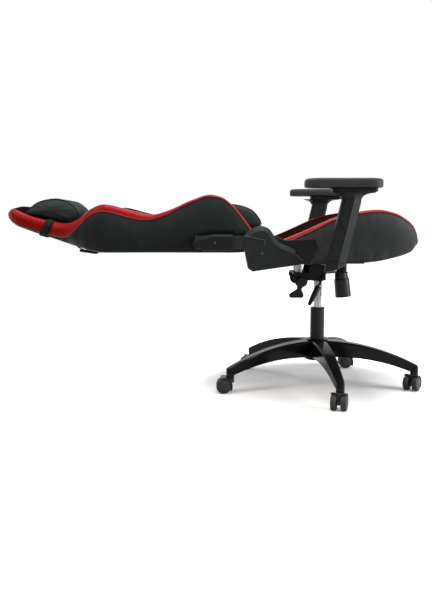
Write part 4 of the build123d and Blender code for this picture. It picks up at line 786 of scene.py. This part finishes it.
def upholstered(name, read, cuts, channels, materials, close=3.0):
    """A cushion's skin: rings of points read from smooth tables, closed at both ends, with its pins."""
    half_points = RING // 2 + 1
    ends = (min(cuts), max(cuts))
    rows = []
    for x in sorted(cuts):
        side = bolster_half(*[table(x) for table in read])
        rows.append(np.array([(x, y, z) for y, z in side] + [(x, -y, z) for y, z in side[-2:0:-1]]))
    for row, shift in ((rows[0], -1), (rows[-1], 1)):
        middle = row[:, 2].mean()
        for squeeze, narrow, out in END_CAPS:
            cap = row.copy()
            cap[:, 0] += shift * close * out
            cap[:, 1] *= narrow
            cap[:, 2] = middle + (cap[:, 2] - middle) * squeeze
            rows.insert(0 if shift < 0 else len(rows), cap)
    verts = np.concatenate(rows)
    ring_zones = [zone_of(j if j < half_points - 1 else RING - 1 - j)[0] for j in range(RING)]
    zones = ring_zones * (len(rows) - 1) + ["side", "side"]
    piece = add_piece(name, verts * MM, skin_faces(len(rows), RING), materials["side"])
    for zone in list(ZONE_SLOTS)[1:]:
        piece.data.materials.append(materials[zone])
    for polygon, zone in zip(piece.data.polygons, zones):
        polygon.material_index = ZONE_SLOTS[zone]
    pins, caps = np.zeros(len(verts)), np.zeros(len(verts))
    for index in range(len(verts)):
        j = index % RING
        zone, edge = zone_of(j if j < half_points else RING - j)
        x = verts[index][0]
        held = edge or zone in ("base", "band", "roll") or not ends[0] + END_HOLD < x < ends[1] - END_HOLD
        held = held or (zone in ("middle", "well") and any(abs(x - c) < CHANNEL_HALF for c in channels))
        pins[index] = 1.0 if held else 0.0
        caps[index] = PUFF_CAPS[zone] * MM
    seam = ZONE_CUTS["base"] + ZONE_CUTS["side"]
    first, last = len(END_CAPS) * RING, (len(rows) - len(END_CAPS)) * RING
    seams = [range(first + j, last, RING) for j in (seam, RING - seam)]
    return piece, pins, caps, seams


def puff(piece, pins, caps):
    """Blow a sewn skin up like stuffed cloth between its pinned seams, no farther than its caps."""
    mesh = piece.data
    start = np.zeros(len(mesh.vertices) * 3)
    mesh.vertices.foreach_get("co", start)
    start = start.reshape(-1, 3)
    group = piece.vertex_groups.new(name="sewn")
    for index, pin in enumerate(pins):
        if pin:
            group.add([index], float(pin), "REPLACE")
    cloth = piece.modifiers.new("cloth", "CLOTH")
    cloth.settings.quality = 5
    cloth.settings.mass = 0.3
    cloth.settings.tension_stiffness = 12
    cloth.settings.compression_stiffness = 12
    cloth.settings.bending_stiffness = 0.4
    cloth.settings.shrink_min = -0.02
    cloth.settings.use_pressure = True
    cloth.settings.uniform_pressure_force = PUFF_PRESSURE
    cloth.settings.vertex_group_mass = "sewn"
    cloth.settings.effector_weights.gravity = 0.0
    cloth.collision_settings.use_collision = False
    cloth.point_cache.frame_start = 1
    cloth.point_cache.frame_end = PUFF_FRAMES
    for frame_number in range(1, PUFF_FRAMES + 1):
        scene.frame_set(frame_number)
    settle(piece)
    scene.frame_set(1)
    moved = np.zeros(len(start) * 3)
    piece.data.vertices.foreach_get("co", moved)
    shift = moved.reshape(-1, 3) - start
    far = np.maximum(np.linalg.norm(shift, axis=1), 1e-9)
    shift *= np.minimum(1.0, np.asarray(caps) / far)[:, None]
    piece.data.vertices.foreach_set("co", (start + shift).ravel())
    piece.vertex_groups.clear()
    piece.data.update()


def refine(piece):
    """Subdivide a skin once and smooth it."""
    finer = piece.modifiers.new("finer", "SUBSURF")
    finer.levels = finer.render_levels = 1
    settle(piece)
    for polygon in piece.data.polygons:
        polygon.use_smooth = True


def leatherette(name, colour, rough, grain=0.5, tint=0.15, specular=0.15):
    """Coated cloth: pebbled grain, broad soft creases, uneven gloss and a slightly mottled colour."""
    material = bpy.data.materials.new(name)
    tree, shader, _ = fresh_nodes(material)
    place = tree.nodes.new("ShaderNodeTexCoord").outputs["Object"]
    dark, pale = [c * (1 - tint) for c in colour], [c * (1 + tint) for c in colour]
    cloud, tone = mottled(tree, place, dark, pale, scale=9.0, detail=4.0, spread=(0.3, 0.7))
    gloss = add_node(tree, "ShaderNodeMapRange", {
        "Value": cloud, "To Min": rough - HIDE_SWAY, "To Max": rough + HIDE_SWAY})
    pebbles = add_node(tree, "ShaderNodeTexVoronoi", {"Vector": place, "Scale": 620.0})
    fine = add_node(tree, "ShaderNodeBump", {
        "Strength": grain, "Distance": 0.0005, "Height": pebbles.outputs["Distance"]})
    folds = add_node(tree, "ShaderNodeTexNoise", {
        "Vector": place, "Scale": 26.0, "Detail": 2.0, "Distortion": 0.6})
    crease = add_node(tree, "ShaderNodeBump", {
        "Strength": 0.12, "Distance": 0.006, "Height": folds.outputs["Fac"],
        "Normal": fine.outputs["Normal"]})
    feed(tree, shader, {"Base Color": tone, "Roughness": gloss.outputs["Result"],
                        "Specular IOR Level": specular, "Normal": crease.outputs["Normal"]})
    return material


def tube(name, points, radius, material):
    """A round cord along a run of points in metres, its ends closed."""
    path = [Vector(p) for p in points]
    verts = []
    side = None
    for k, point in enumerate(path):
        run = (path[min(k + 1, len(path) - 1)] - path[max(k - 1, 0)]).normalized()
        side = run.orthogonal().normalized() if side is None else (side - run * side.dot(run)).normalized()
        up = run.cross(side)
        for j in range(CORD_SIDES):
            angle = 2 * math.pi * j / CORD_SIDES
            verts.append(point + (side * math.cos(angle) + up * math.sin(angle)) * radius)
    return add_piece(name, verts, skin_faces(len(path), CORD_SIDES), material)


def piping(name, piece, rows, radius, lift, material):
    """Cords laid along rows of a skin's points, lifted off it along its normals."""
    cords = []
    for k, row in enumerate(rows):
        points = [piece.data.vertices[i].co + piece.data.vertices[i].normal * lift for i in row]
        cords.append(tube(f"{name}_{k}", smooth_run(points, 3), radius, material))
    return merge(name, cords)


def stitch_tree():
    """Node tree that sews a row of short threads along each line of its mesh."""
    sizes = {"Pitch": STITCH_PITCH, "Length": STITCH_LENGTH, "Radius": STITCH_RADIUS}
    tree, inlet, outlet = new_group("thread_stitches", "Lines", sizes, "Stitches")
    curve = add_node(tree, "GeometryNodeMeshToCurve", {"Mesh": inlet["Lines"]})
    steps = add_node(tree, "GeometryNodeResampleCurve", {
        "Curve": curve.outputs["Curve"], "Length": inlet["Pitch"]}, mode="LENGTH")
    thread = add_node(tree, "GeometryNodeMeshCylinder", {
        "Vertices": THREAD_SIDES, "Radius": inlet["Radius"], "Depth": inlet["Length"]})
    along = tree.nodes.new("GeometryNodeInputTangent")
    turn = add_node(tree, "FunctionNodeAlignRotationToVector", {"Vector": along.outputs[0]}, axis="Z")
    spread = add_node(tree, "GeometryNodeInstanceOnPoints", {
        "Points": steps.outputs[0], "Instance": thread.outputs["Mesh"], "Rotation": turn.outputs[0]})
    real = add_node(tree, "GeometryNodeRealizeInstances", {0: spread.outputs[0]})
    paint = add_node(tree, "GeometryNodeSetMaterial", {"Geometry": real.outputs[0], "Material": thread_black})
    feed(tree, outlet, {0: paint.outputs[0]})
    return tree


def sew(name, lines, body):
    """Stitches along runs of points in metres, riding on a body."""
    points = [p for line in lines for p in line]
    edges, start = [], 0
    for line in lines:
        edges += [(start + k, start + k + 1) for k in range(len(line) - 1)]
        start += len(line)
    piece = grow(name, points, edges, stitches)
    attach(piece, body)


def beside(piece, rows):
    """Runs beside a skin's seam rows, a share of the way down to the next row of points."""
    runs = []
    for row in rows:
        low = 1 if row[0] % RING > RING / 2 else -1
        spots = [piece.data.vertices[i] for i in row]
        under = [piece.data.vertices[i + low] for i in row]
        runs.append([a.co.lerp(b.co, STITCH_SHARE)
                     + a.normal.lerp(b.normal, STITCH_SHARE).normalized() * STITCH_LIFT
                     for a, b in zip(spots, under)])
    return runs


STITCH_PITCH, STITCH_LENGTH, STITCH_RADIUS = 5.5, 4.0, 0.45
STITCH_SHARE, STITCH_LIFT = 0.35, 0.8 * MM
THREAD_SIDES = 6
thread_black = leatherette("thread_black", (0.05, 0.05, 0.05), 0.6, specular=0.1)
stitches = stitch_tree()
black_hide = leatherette("leatherette_black", (0.0205, 0.0255, 0.0245), 0.42, specular=0.03)
# The seat's flanks use a paler copy of the backrest's black leatherette: painted light for the brighter light
# on the seat.
seat_hide_painted_light = leatherette("leatherette_black_seat_painted_light", (0.052, 0.0545, 0.0555), 0.42, specular=0.03)
red_hide = leatherette("leatherette_red", (0.27, 0.0035, 0.0045), 0.36, grain=0.3, tint=0.08, specular=0.08)
wine_hide = leatherette("leatherette_wine", (0.013, 0.004, 0.004), 0.42, grain=0.4, specular=0.0)
under_cloth = leatherette("underside_cloth", (0.016, 0.016, 0.017), 0.85, grain=0.9)
piping_red = leatherette("piping_red", (0.26, 0.008, 0.018), 0.36, grain=0.3, specular=0.2)
HIDES = {"side": black_hide, "band": red_hide, "roll": wine_hide, "well": wine_hide, "middle": black_hide,
         "base": under_cloth}
PIPING_RADIUS = 1.7 * MM
SEAT_PIPING_LIFT = 0.6 * MM
PLATE_PRESS = 254.4 * MM
PLATE_ZONE_X, PLATE_ZONE_Z = (-0.21, -0.03), (0.435, 0.523)

seat_tables = (SEAT_HALF, SEAT_UNDER, SEAT_RIDGE, SEAT_FLOOR, SEAT_SEAM)
seat_read = [smooth_table(SEAT_X, table) for table in seat_tables]
seat_skin, pins, caps, seams = upholstered("seat_cushion_cover", seat_read, SEAT_CUTS, SEAT_CHANNELS,
                                           dict(HIDES, side=seat_hide_painted_light))
puff(seat_skin, pins, caps)
for vertex in seat_skin.data.vertices:
    spot = vertex.co
    beside_plate = PLATE_ZONE_X[0] < spot.x < PLATE_ZONE_X[1] and PLATE_ZONE_Z[0] < spot.z < PLATE_ZONE_Z[1]
    if beside_plate and abs(spot.y) > PLATE_PRESS:
        spot.y = math.copysign(PLATE_PRESS, spot.y)
seat_piping = piping("seat_piping", seat_skin, seams, PIPING_RADIUS, SEAT_PIPING_LIFT, piping_red)
sew("seat_stitches", beside(seat_skin, seams), "seat")
refine(seat_skin)
for piece in (seat_skin, seat_piping):
    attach(piece, "seat")
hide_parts("seat_cushion")

# Backrest: one foam moulding from the lumbar wings to the headrest, in the same leatherette. The red band
# is a thin line over the wings and widens to cover the whole flank of the headrest.
BACK_X = [-242, -262, -305, -340, -374, -430, -500, -556, -620, -706, -750, -800, -840, -900, -960, -985,
          -1005, -1020, -1030, -1038]
BACK_HALF = [240, 247, 258, 259, 259, 259, 254, 250, 257, 268, 256, 220, 184, 158, 150, 145, 140, 132,
             124, 112]
BACK_UNDER = [498, 476, 474, 474, 474, 474, 474, 474, 474, 474, 480, 493, 504, 522, 541, 550, 557, 565,
              572, 580]
BACK_RIDGE = [547, 574, 624, 649, 656, 640, 609, 594, 607, 626, 610, 576, 566, 575, 590, 598, 606, 613,
              614, 608]
BACK_FLOOR = [536, 546, 555, 558, 560, 559, 553, 549, 548, 551, 553, 557, 561, 564, 586, 606, 619, 620,
              616, 606]
BACK_SEAM_X = [-242, -251, -282, -313, -347, -380, -420, -467, -513, -559, -590, -636, -676, -703, -719,
               -744, -775, -806, -831, -845, -860, -900, -960, -1000, -1025, -1038]
BACK_SEAM = [531, 547, 590, 625, 646, 650, 637, 616.5, 593, 579, 578, 588, 599, 603, 602,
             592, 566, 540, 526, 523, 525, 532, 549, 562, 574, 586]
BACK_CHANNELS = (-430.0, -510.0, -590.0, -670.0, -750.0)
BACK_CUTS = [-242, -246, -252, -260, -268, -277, -286, *range(-295, -450, -8), *range(-458, -1000, -11),
             -1004, -1012, -1020, -1027, -1033, -1038]
BACK_CLOSE = 5.0
BACK_PIPING_LIFT = 0.4 * MM
POCKET = [(-300, 540), (-371, 541), (-424, 527), (-435, 510), (-432, 492), (-400, 476), (-300, 476)]
POCKET_DEPTH = 7.0
POCKET_SOFT = 9.0
POCKET_ZONE_X, POCKET_ZONE_Z, POCKET_ZONE_Y = (-455, -240), (465, 560), 200
ARM_PRESS = 259.8
ARM_PRESS_REAR, ARM_PRESS_TOP = -300, 545
HEAD_TIP = -0.985


def inside_reach(x, z, outline):
    """How far a point lies inside a closed outline, negative outside it."""
    spot = np.array([x, z])
    nearest, crossings = 1e9, 0
    for a, b in zip(outline, outline[1:] + outline[:1]):
        a, b = np.array(a, float), np.array(b, float)
        t = np.clip(np.dot(spot - a, b - a) / np.dot(b - a, b - a), 0, 1)
        nearest = min(nearest, np.linalg.norm(spot - a - (b - a) * t))
        if (a[1] > z) != (b[1] > z) and x < (b[0] - a[0]) * (z - a[1]) / (b[1] - a[1]) + a[0]:
            crossings += 1
    return nearest if crossings % 2 else -nearest


back_read = [smooth_table(BACK_X, table) for table in (BACK_HALF, BACK_UNDER, BACK_RIDGE, BACK_FLOOR)]
back_read.append(smooth_table(BACK_SEAM_X, BACK_SEAM))
back_skin, pins, caps, seams = upholstered("back_cushion_cover", back_read, BACK_CUTS, BACK_CHANNELS, HIDES,
                                           BACK_CLOSE)
puff(back_skin, pins, caps)
for polygon in back_skin.data.polygons:
    if polygon.center.x < HEAD_TIP and polygon.material_index in (ZONE_SLOTS["well"], ZONE_SLOTS["middle"]):
        polygon.material_index = ZONE_SLOTS["roll"]
back_piping = piping("back_piping", back_skin, seams, PIPING_RADIUS, BACK_PIPING_LIFT, piping_red)
sew("back_stitches", beside(back_skin, seams), "back")
refine(back_skin)
for vertex in back_skin.data.vertices:
    x, y, z = vertex.co / MM
    by_arm = POCKET_ZONE_X[0] < x < POCKET_ZONE_X[1] and POCKET_ZONE_Z[0] < z < POCKET_ZONE_Z[1]
    if by_arm and abs(y) > POCKET_ZONE_Y:
        deep = np.clip(inside_reach(x, z, POCKET) / POCKET_SOFT + 0.5, 0, 1)
        sunk = abs(y) - POCKET_DEPTH * deep * deep * (3 - 2 * deep)
        if x > ARM_PRESS_REAR and z < ARM_PRESS_TOP:
            sunk = min(sunk, ARM_PRESS)
        vertex.co.y = math.copysign(sunk, y) * MM
for piece in (back_skin, back_piping):
    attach(piece, "back")
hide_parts("back_cushion")

# Pillows: stuffed rolls with a flat back, an arched face and a gusset panel sewn in at each end.
# Black leatherette, bare of any mark.
LUMBAR_SIZE = (198.0, 300.0, 70.0)
LUMBAR_SPOT = (-306.0, 592.5)
LUMBAR_PITCH = 6.0
LUMBAR_SHAPE = [(-1, 0.24), (-0.93, 0.47), (-0.68, 0.81), (-0.34, 0.965), (0, 1), (0.34, 0.965), (0.68, 0.81),
                (0.93, 0.47), (1, 0.24), (0.97, 0.09), (0.86, 0.01), (0.5, 0), (-0.5, 0), (-0.86, 0.01),
                (-0.97, 0.09)]
HEAD_WIDTH = 236.0
HEAD_SPOT = (-897.0, 606.0)
HEAD_OUTLINE = [(-850, 570), (-828, 581), (-813, 599), (-818, 613), (-834, 629), (-853, 640), (-874, 645),
                (-899, 645), (-925, 641), (-950, 631), (-970, 615), (-982, 602), (-977, 595), (-950, 590),
                (-900, 580)]
PILLOW_RING = 56
PILLOW_ROWS = 15
PILLOW_END = 12.0
PILLOW_CAPS = [(1.0, 0.30), (2.5, 0.68), (7.0, 0.92)]
PILLOW_FLAT = 3.0
PILLOW_PUFF = 4.0 * MM
PILLOW_CORD, PILLOW_CORD_LIFT = 1.5 * MM, 0.5 * MM
LOOP_STEPS = 8


def leant(spot, x, z, pitch):
    """A point of the X-Z plane turned by a pitch in degrees and set down at a spot."""
    lean = math.radians(pitch)
    return (spot[0] + x * math.cos(lean) + z * math.sin(lean),
            spot[1] - x * math.sin(lean) + z * math.cos(lean))


def stuffed(name, outline, spot, width, material):
    """A pillow's skin, its end seams and its back pinned, puffed between them."""
    loop = smooth_run(outline[-1:] + outline + outline[:2], LOOP_STEPS)[LOOP_STEPS:-LOOP_STEPS]
    ring = spaced(loop, PILLOW_RING)[:-1]
    ends = width / 2 - PILLOW_END
    caps = [(inward - width / 2, scale) for inward, scale in PILLOW_CAPS]
    rows = caps + [(-ends + 2 * ends * k / (PILLOW_ROWS - 1), 1.0) for k in range(PILLOW_ROWS)]
    rows += [(-y, scale) for y, scale in reversed(caps)]
    slope = math.atan2(outline[0][1] - outline[-3][1], outline[0][0] - outline[-3][0])
    verts, pins = [], []
    for y, scale in rows:
        for x, z in ring:
            verts.append((spot[0] + (x - spot[0]) * scale, y, spot[1] + (z - spot[1]) * scale))
            above = (z - outline[0][1]) * math.cos(slope) - (x - outline[0][0]) * math.sin(slope)
            pins.append(1.0 if abs(abs(y) - ends) < 0.1 or above < PILLOW_FLAT else 0.0)
    skin = add_piece(name, [Vector(v) * MM for v in verts], skin_faces(len(rows), PILLOW_RING), material)
    puff(skin, pins, [PILLOW_PUFF] * len(verts))
    seams = [[k * PILLOW_RING + j % PILLOW_RING for j in range(PILLOW_RING + 1)]
             for k in (len(caps), len(rows) - 1 - len(caps))]
    cord = piping(name + "_piping", skin, seams, PILLOW_CORD, PILLOW_CORD_LIFT, material)
    refine(skin)
    return skin, cord


pillow_hide = leatherette("pillow_leatherette", (0.042, 0.050, 0.052), 0.46, specular=0.0)
lumbar_outline = [leant(LUMBAR_SPOT, across * LUMBAR_SIZE[0] / 2, (up - 0.5) * LUMBAR_SIZE[2], LUMBAR_PITCH)
                  for across, up in LUMBAR_SHAPE]
for node, outline, spot, width in (("lumbar_pillow", lumbar_outline, LUMBAR_SPOT, LUMBAR_SIZE[1]),
                                   ("head_pillow", HEAD_OUTLINE, HEAD_SPOT, HEAD_WIDTH)):
    skin, cord = stuffed(node + "_cover", outline, spot, width, pillow_hide)
    for piece in (skin, cord):
        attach(piece, "back")
    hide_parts(node)

# Straps: black elastic webbing. One is drawn slantwise round the headrest from the head pillow, the other
# runs under the backrest to the lumbar pillow, with a plastic buckle hanging loose at the shoulders.
STRAP_HALF = 12.0
STRAP_THICK = 1.8
STRAP_LIFT = 2.6
STRAP_COLUMNS = (-1.0, -0.5, 0.0, 0.5, 1.0)
HEAD_STRAP_X = (-922.0, -893.0)
HEAD_STRAP_END = 31
LUMBAR_STRAP = [(-870, 4.0), (-852, 2.0), (-840, -11.0), (-828, -19.0), (-800, -22.0), (-770, -19.0),
                (-756, -14.0), (-742, -1.2), (-700, -1.2), (-500, -1.2), (-300, -1.2), (-264, -1.2)]
LUMBAR_RISE = [(-250, 481), (-240.5, 492), (-236.5, 505), (-236.5, 530), (-239, 545), (-246, 556)]
STRAP_STEPS = 4
BUCKLE_SPOT = (-798.0, 469.0)
BUCKLE_PITCH = 8.0
BUCKLE_PLAN = [(-31, -12), (-24, -18), (-6, -18), (-2, -13), (8, -13), (12, -18), (27, -18), (31, -13)]
BUCKLE_LEVELS = ((-4.5, 0.9), (-2.5, 1.0), (2.5, 1.0), (4.5, 0.9))


def webbing_strip(name, inner, outer, material):
    """A closed strip of webbing between two sheets of points, row by row."""
    verts = [Vector(p) * MM for low, high in zip(inner, outer) for p in low + high[::-1]]
    return add_piece(name, verts, skin_faces(len(inner), 2 * len(inner[0])), material)


def ring_half(x):
    """Half the backrest's section at one place, with the way out of its skin at each point."""
    side = bolster_half(*[table(x) for table in back_read])
    run = np.gradient(side, axis=0)
    out = np.stack([run[:, 1], -run[:, 0]], axis=1)
    return side, out / np.linalg.norm(out, axis=1)[:, None]


webbing = leatherette("strap_webbing", (0.011, 0.0115, 0.0115), 0.7, grain=0.8, specular=0.08)
heights = ring_half(sum(HEAD_STRAP_X) / 2)[0][:, 1]
inner, outer = [], []
for j in list(range(HEAD_STRAP_END, 0, -1)) + list(range(HEAD_STRAP_END + 1)):
    mirror = -1 if len(inner) < HEAD_STRAP_END else 1
    share = (heights[j] - heights.min()) / (heights.max() - heights.min())
    middle = HEAD_STRAP_X[0] + (HEAD_STRAP_X[1] - HEAD_STRAP_X[0]) * share
    for sheet, lift in ((inner, STRAP_LIFT), (outer, STRAP_LIFT + STRAP_THICK)):
        row = []
        for column in STRAP_COLUMNS:
            x = middle + column * STRAP_HALF
            side, out = ring_half(x)
            y, z = side[j] + out[j] * lift
            row.append((x, mirror * y, z))
        sheet.append(row)
head_strap = webbing_strip("head_strap", inner, outer, webbing)
line = [(x, back_read[1](x) + drop) for x, drop in LUMBAR_STRAP] + LUMBAR_RISE
line = np.array(smooth_run(line, STRAP_STEPS))
run = np.gradient(line, axis=0)
out = np.stack([run[:, 1], -run[:, 0]], axis=1) / np.linalg.norm(run, axis=1)[:, None]
sheets = [[[(x, column * STRAP_HALF, z) for column in STRAP_COLUMNS] for x, z in line + out * lift]
          for lift in (0.0, STRAP_THICK)]
lumbar_strap = webbing_strip("lumbar_strap", sheets[0], sheets[1], webbing)
straps = merge("pillow_strap_webbing", [head_strap, lumbar_strap])
buckle_ring = BUCKLE_PLAN + [(u, -y) for u, y in reversed(BUCKLE_PLAN)]
verts = []
for level, shrink in BUCKLE_LEVELS:
    for u, y in buckle_ring:
        x, z = leant(BUCKLE_SPOT, u * shrink, level, BUCKLE_PITCH)
        verts.append(Vector((x, y * shrink, z)) * MM)
buckle_faces = skin_faces(len(BUCKLE_LEVELS), len(buckle_ring))
buckle = add_piece("strap_buckle", verts, buckle_faces, lever_black, smooth=False)
ease(buckle, 0.8)
for piece in (straps, buckle):
    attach(piece, "back")
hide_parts("pillow_straps")

# Armrests: a moulded boot over the steel core, a hollow post sliding on it, and on the post's flared head
# a slider that carries the soft pad. The post's front outer corner is cut to a broad facet, and the
# slider's key is short, because the flared head is thin at the ends of the key's slot.
POST_FOOT = (3.0, 433.7)
POST_Y = 322.0
POST_PITCH = 13.0
POST_SECTION = [(-29, -12), (-21, -20), (4, -20), (29, -1), (29, 12), (21, 20), (-21, 20), (-29, 12)]
POST_REACH, POST_HALF = 29, 20
POST_SEAM = 18.0
POST_STRAIGHT = 188.0
POST_CUTS = 6
BOOT_LINE = ([-40.0, -4.0, 40.0], [422.5, 422.5, 443.0])
BOOT_GAP = 0.5
BOOT_TRIES = 6
HEAD_LEVELS = [(640.0, 17.5, 79.0, 20.0), (648.0, 14.0, 85.0, 21.5), (653.5, 7.0, 94.0, 24.5),
               (656.5, -3.0, 108.0, 28.0), (658.0, -10.0, 121.0, 30.5), (659.9, -10.5, 122.5, 31.0)]
SLOT_SECTION = [(4, -6), (9.5, -10), (102.5, -10), (108, -6), (108, 6), (102.5, 10), (9.5, 10), (4, 6)]
SLOT_LEVELS = (659.9, 657.2)
SLIDER_FOOT = 660.3 * MM
KEY_SHORT = 0.4


def post_ring(along):
    """The post's cross-section at a height along its leaning axis, in mm from the post's plane."""
    spots = [leant(POST_FOOT, u, along, POST_PITCH) for u, _ in POST_SECTION]
    return [(x, v, z) for (x, z), (_, v) in zip(spots, POST_SECTION)]


def boot_point(u, v):
    """Where an edge of the boot meets its bottom, level at the rear and rising to the front."""
    along = 0.0
    for _ in range(BOOT_TRIES):
        x, z = leant(POST_FOOT, u, along, POST_PITCH)
        along += (np.interp(x, *BOOT_LINE) - z) / math.cos(math.radians(POST_PITCH))
    x, z = leant(POST_FOOT, u, along, POST_PITCH)
    return x, v, z


def stacked(name, rings, way, material):
    """A piece skinned over rings of equal length, closed at both ends, on one side of the chair."""
    verts = [(x * MM, way * (POST_Y - v) * MM, z * MM) for ring in rings for x, v, z in ring]
    return add_piece(name, verts, skin_faces(len(rings), len(rings[0])), material, smooth=False)


def head_ring(level, rear, front, half):
    """The post's section spread out level under the pad."""
    middle, reach = (rear + front) / 2, (front - rear) / 2
    return [(middle + u / POST_REACH * reach, v / POST_HALF * half, level) for u, v in POST_SECTION]


arm_plastic = moulding("armrest_plastic", (0.0175, 0.0195, 0.0195), 0.40, grain=0.3, grain_size=1.0,
                       specular=0.06)
for side, way in SIDES:
    boot_rings = [[boot_point(u, v) for u, v in POST_SECTION], post_ring(POST_SEAM - BOOT_GAP)]
    boot = stacked(f"arm_boot_{side}_shell", boot_rings, way, arm_plastic)
    ease(boot, 1.6)
    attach(boot, "seat")
    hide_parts(f"arm_boot_{side}")
    rings = [post_ring(POST_SEAM + POST_STRAIGHT * k / POST_CUTS) for k in range(POST_CUTS + 1)]
    rings += [head_ring(*level) for level in HEAD_LEVELS]
    rings += [[(x, v, level) for x, v in SLOT_SECTION] for level in SLOT_LEVELS]
    post = stacked(f"arm_post_{side}_shell", rings, way, arm_plastic)
    ease(post, 1.6, turn=24.0)
    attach(post, f"arm_post_{side}")
    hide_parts(f"arm_post_{side}")
    recast(f"arm_button_{side}", f"arm_button_{side}", lever_black, edge=0.8)
    slider = recast(f"arm_slider_{side}", f"arm_slider_{side}", arm_plastic, edge=1.6)
    for vertex in slider.data.vertices:
        vertex.co.z = max(vertex.co.z, SLIDER_FOOT + (vertex.co.z - SLIDER_FOOT) * KEY_SHORT)

# Arm pads: self-skinned polyurethane foam with a fine leather grain, crowned and soft-edged, on a plate
# that turns on the slider. The left pad stands a little forward and turned.
PAD_CENTRE = (24.0, 671.7)
PAD_SIZE = (232.0, 95.0)
PAD_ROUND = 36.0
PAD_ROUND_LEAST, PAD_ROUND_LOSS, PAD_ROUND_ROOM = 4.0, 0.2, 0.5
PAD_CORNER = 9
PAD_PLAN = 72
PAD_LEVELS = [(0.0, 6.0), (0.8, 2.2), (3.0, 0.5), (8.0, 0.0), (18.0, 0.0), (22.5, 0.9), (25.6, 3.0),
              (27.4, 7.0), (28.2, 14.0), (28.8, 32.0)]
LEFT_TOE = math.radians(-10.0)
LEFT_SLIDE = 25.0
PAD_PIVOT = 56.0


def pad_plan(inward):
    """Rounded outline of a pad moved inwards, in mm from its middle."""
    reach, half = PAD_SIZE[0] / 2 - inward, PAD_SIZE[1] / 2 - inward
    radius = max(min(PAD_ROUND, half - PAD_ROUND_ROOM) - inward * PAD_ROUND_LOSS, PAD_ROUND_LEAST)
    corners = []
    for cx, cy, start in ((reach - radius, half - radius, 0), (radius - reach, half - radius, 90),
                          (radius - reach, radius - half, 180), (reach - radius, radius - half, 270)):
        for k in range(PAD_CORNER + 1):
            angle = math.radians(start + 90 * k / PAD_CORNER)
            corners.append((cx + radius * math.cos(angle), cy + radius * math.sin(angle)))
    return spaced(corners + corners[:1], PAD_PLAN)[:-1]


pad_foam = leatherette("arm_pad_foam", (0.040, 0.042, 0.043), 0.44, grain=0.45, specular=0.10)
button_grey = moulding("pad_button_grey", (0.30, 0.30, 0.31), 0.42, grain=0.15)
for side, way in SIDES:
    verts = [Vector((PAD_CENTRE[0] + x, way * POST_Y + y, PAD_CENTRE[1] + level)) * MM
             for level, inward in PAD_LEVELS for x, y in pad_plan(inward)]
    if side == "left":
        pivot = Vector((PAD_PIVOT, POST_Y, 0)) * MM
        slide = Vector((LEFT_SLIDE * MM, 0, 0))
        place = (Matrix.Translation(pivot + slide) @ Matrix.Rotation(LEFT_TOE, 4, "Z")
                 @ Matrix.Translation(-pivot))
        verts = [place @ v for v in verts]
    pad = add_piece(f"arm_pad_{side}_foam", verts, skin_faces(len(PAD_LEVELS), PAD_PLAN), pad_foam)
    refine(pad)
    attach(pad, f"arm_pad_{side}")
    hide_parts(f"arm_pad_{side}")
    recast(f"pad_button_{side}", f"pad_button_{side}", button_grey, edge=0.8)

# Recline lever: a flat steel bar under black plastic, pinned beside the far hinge, where the sitter's
# left hand finds it. Pulling it frees the backrest.
recast("recline_lever", "recline_lever", lever_black, edge=1.0)
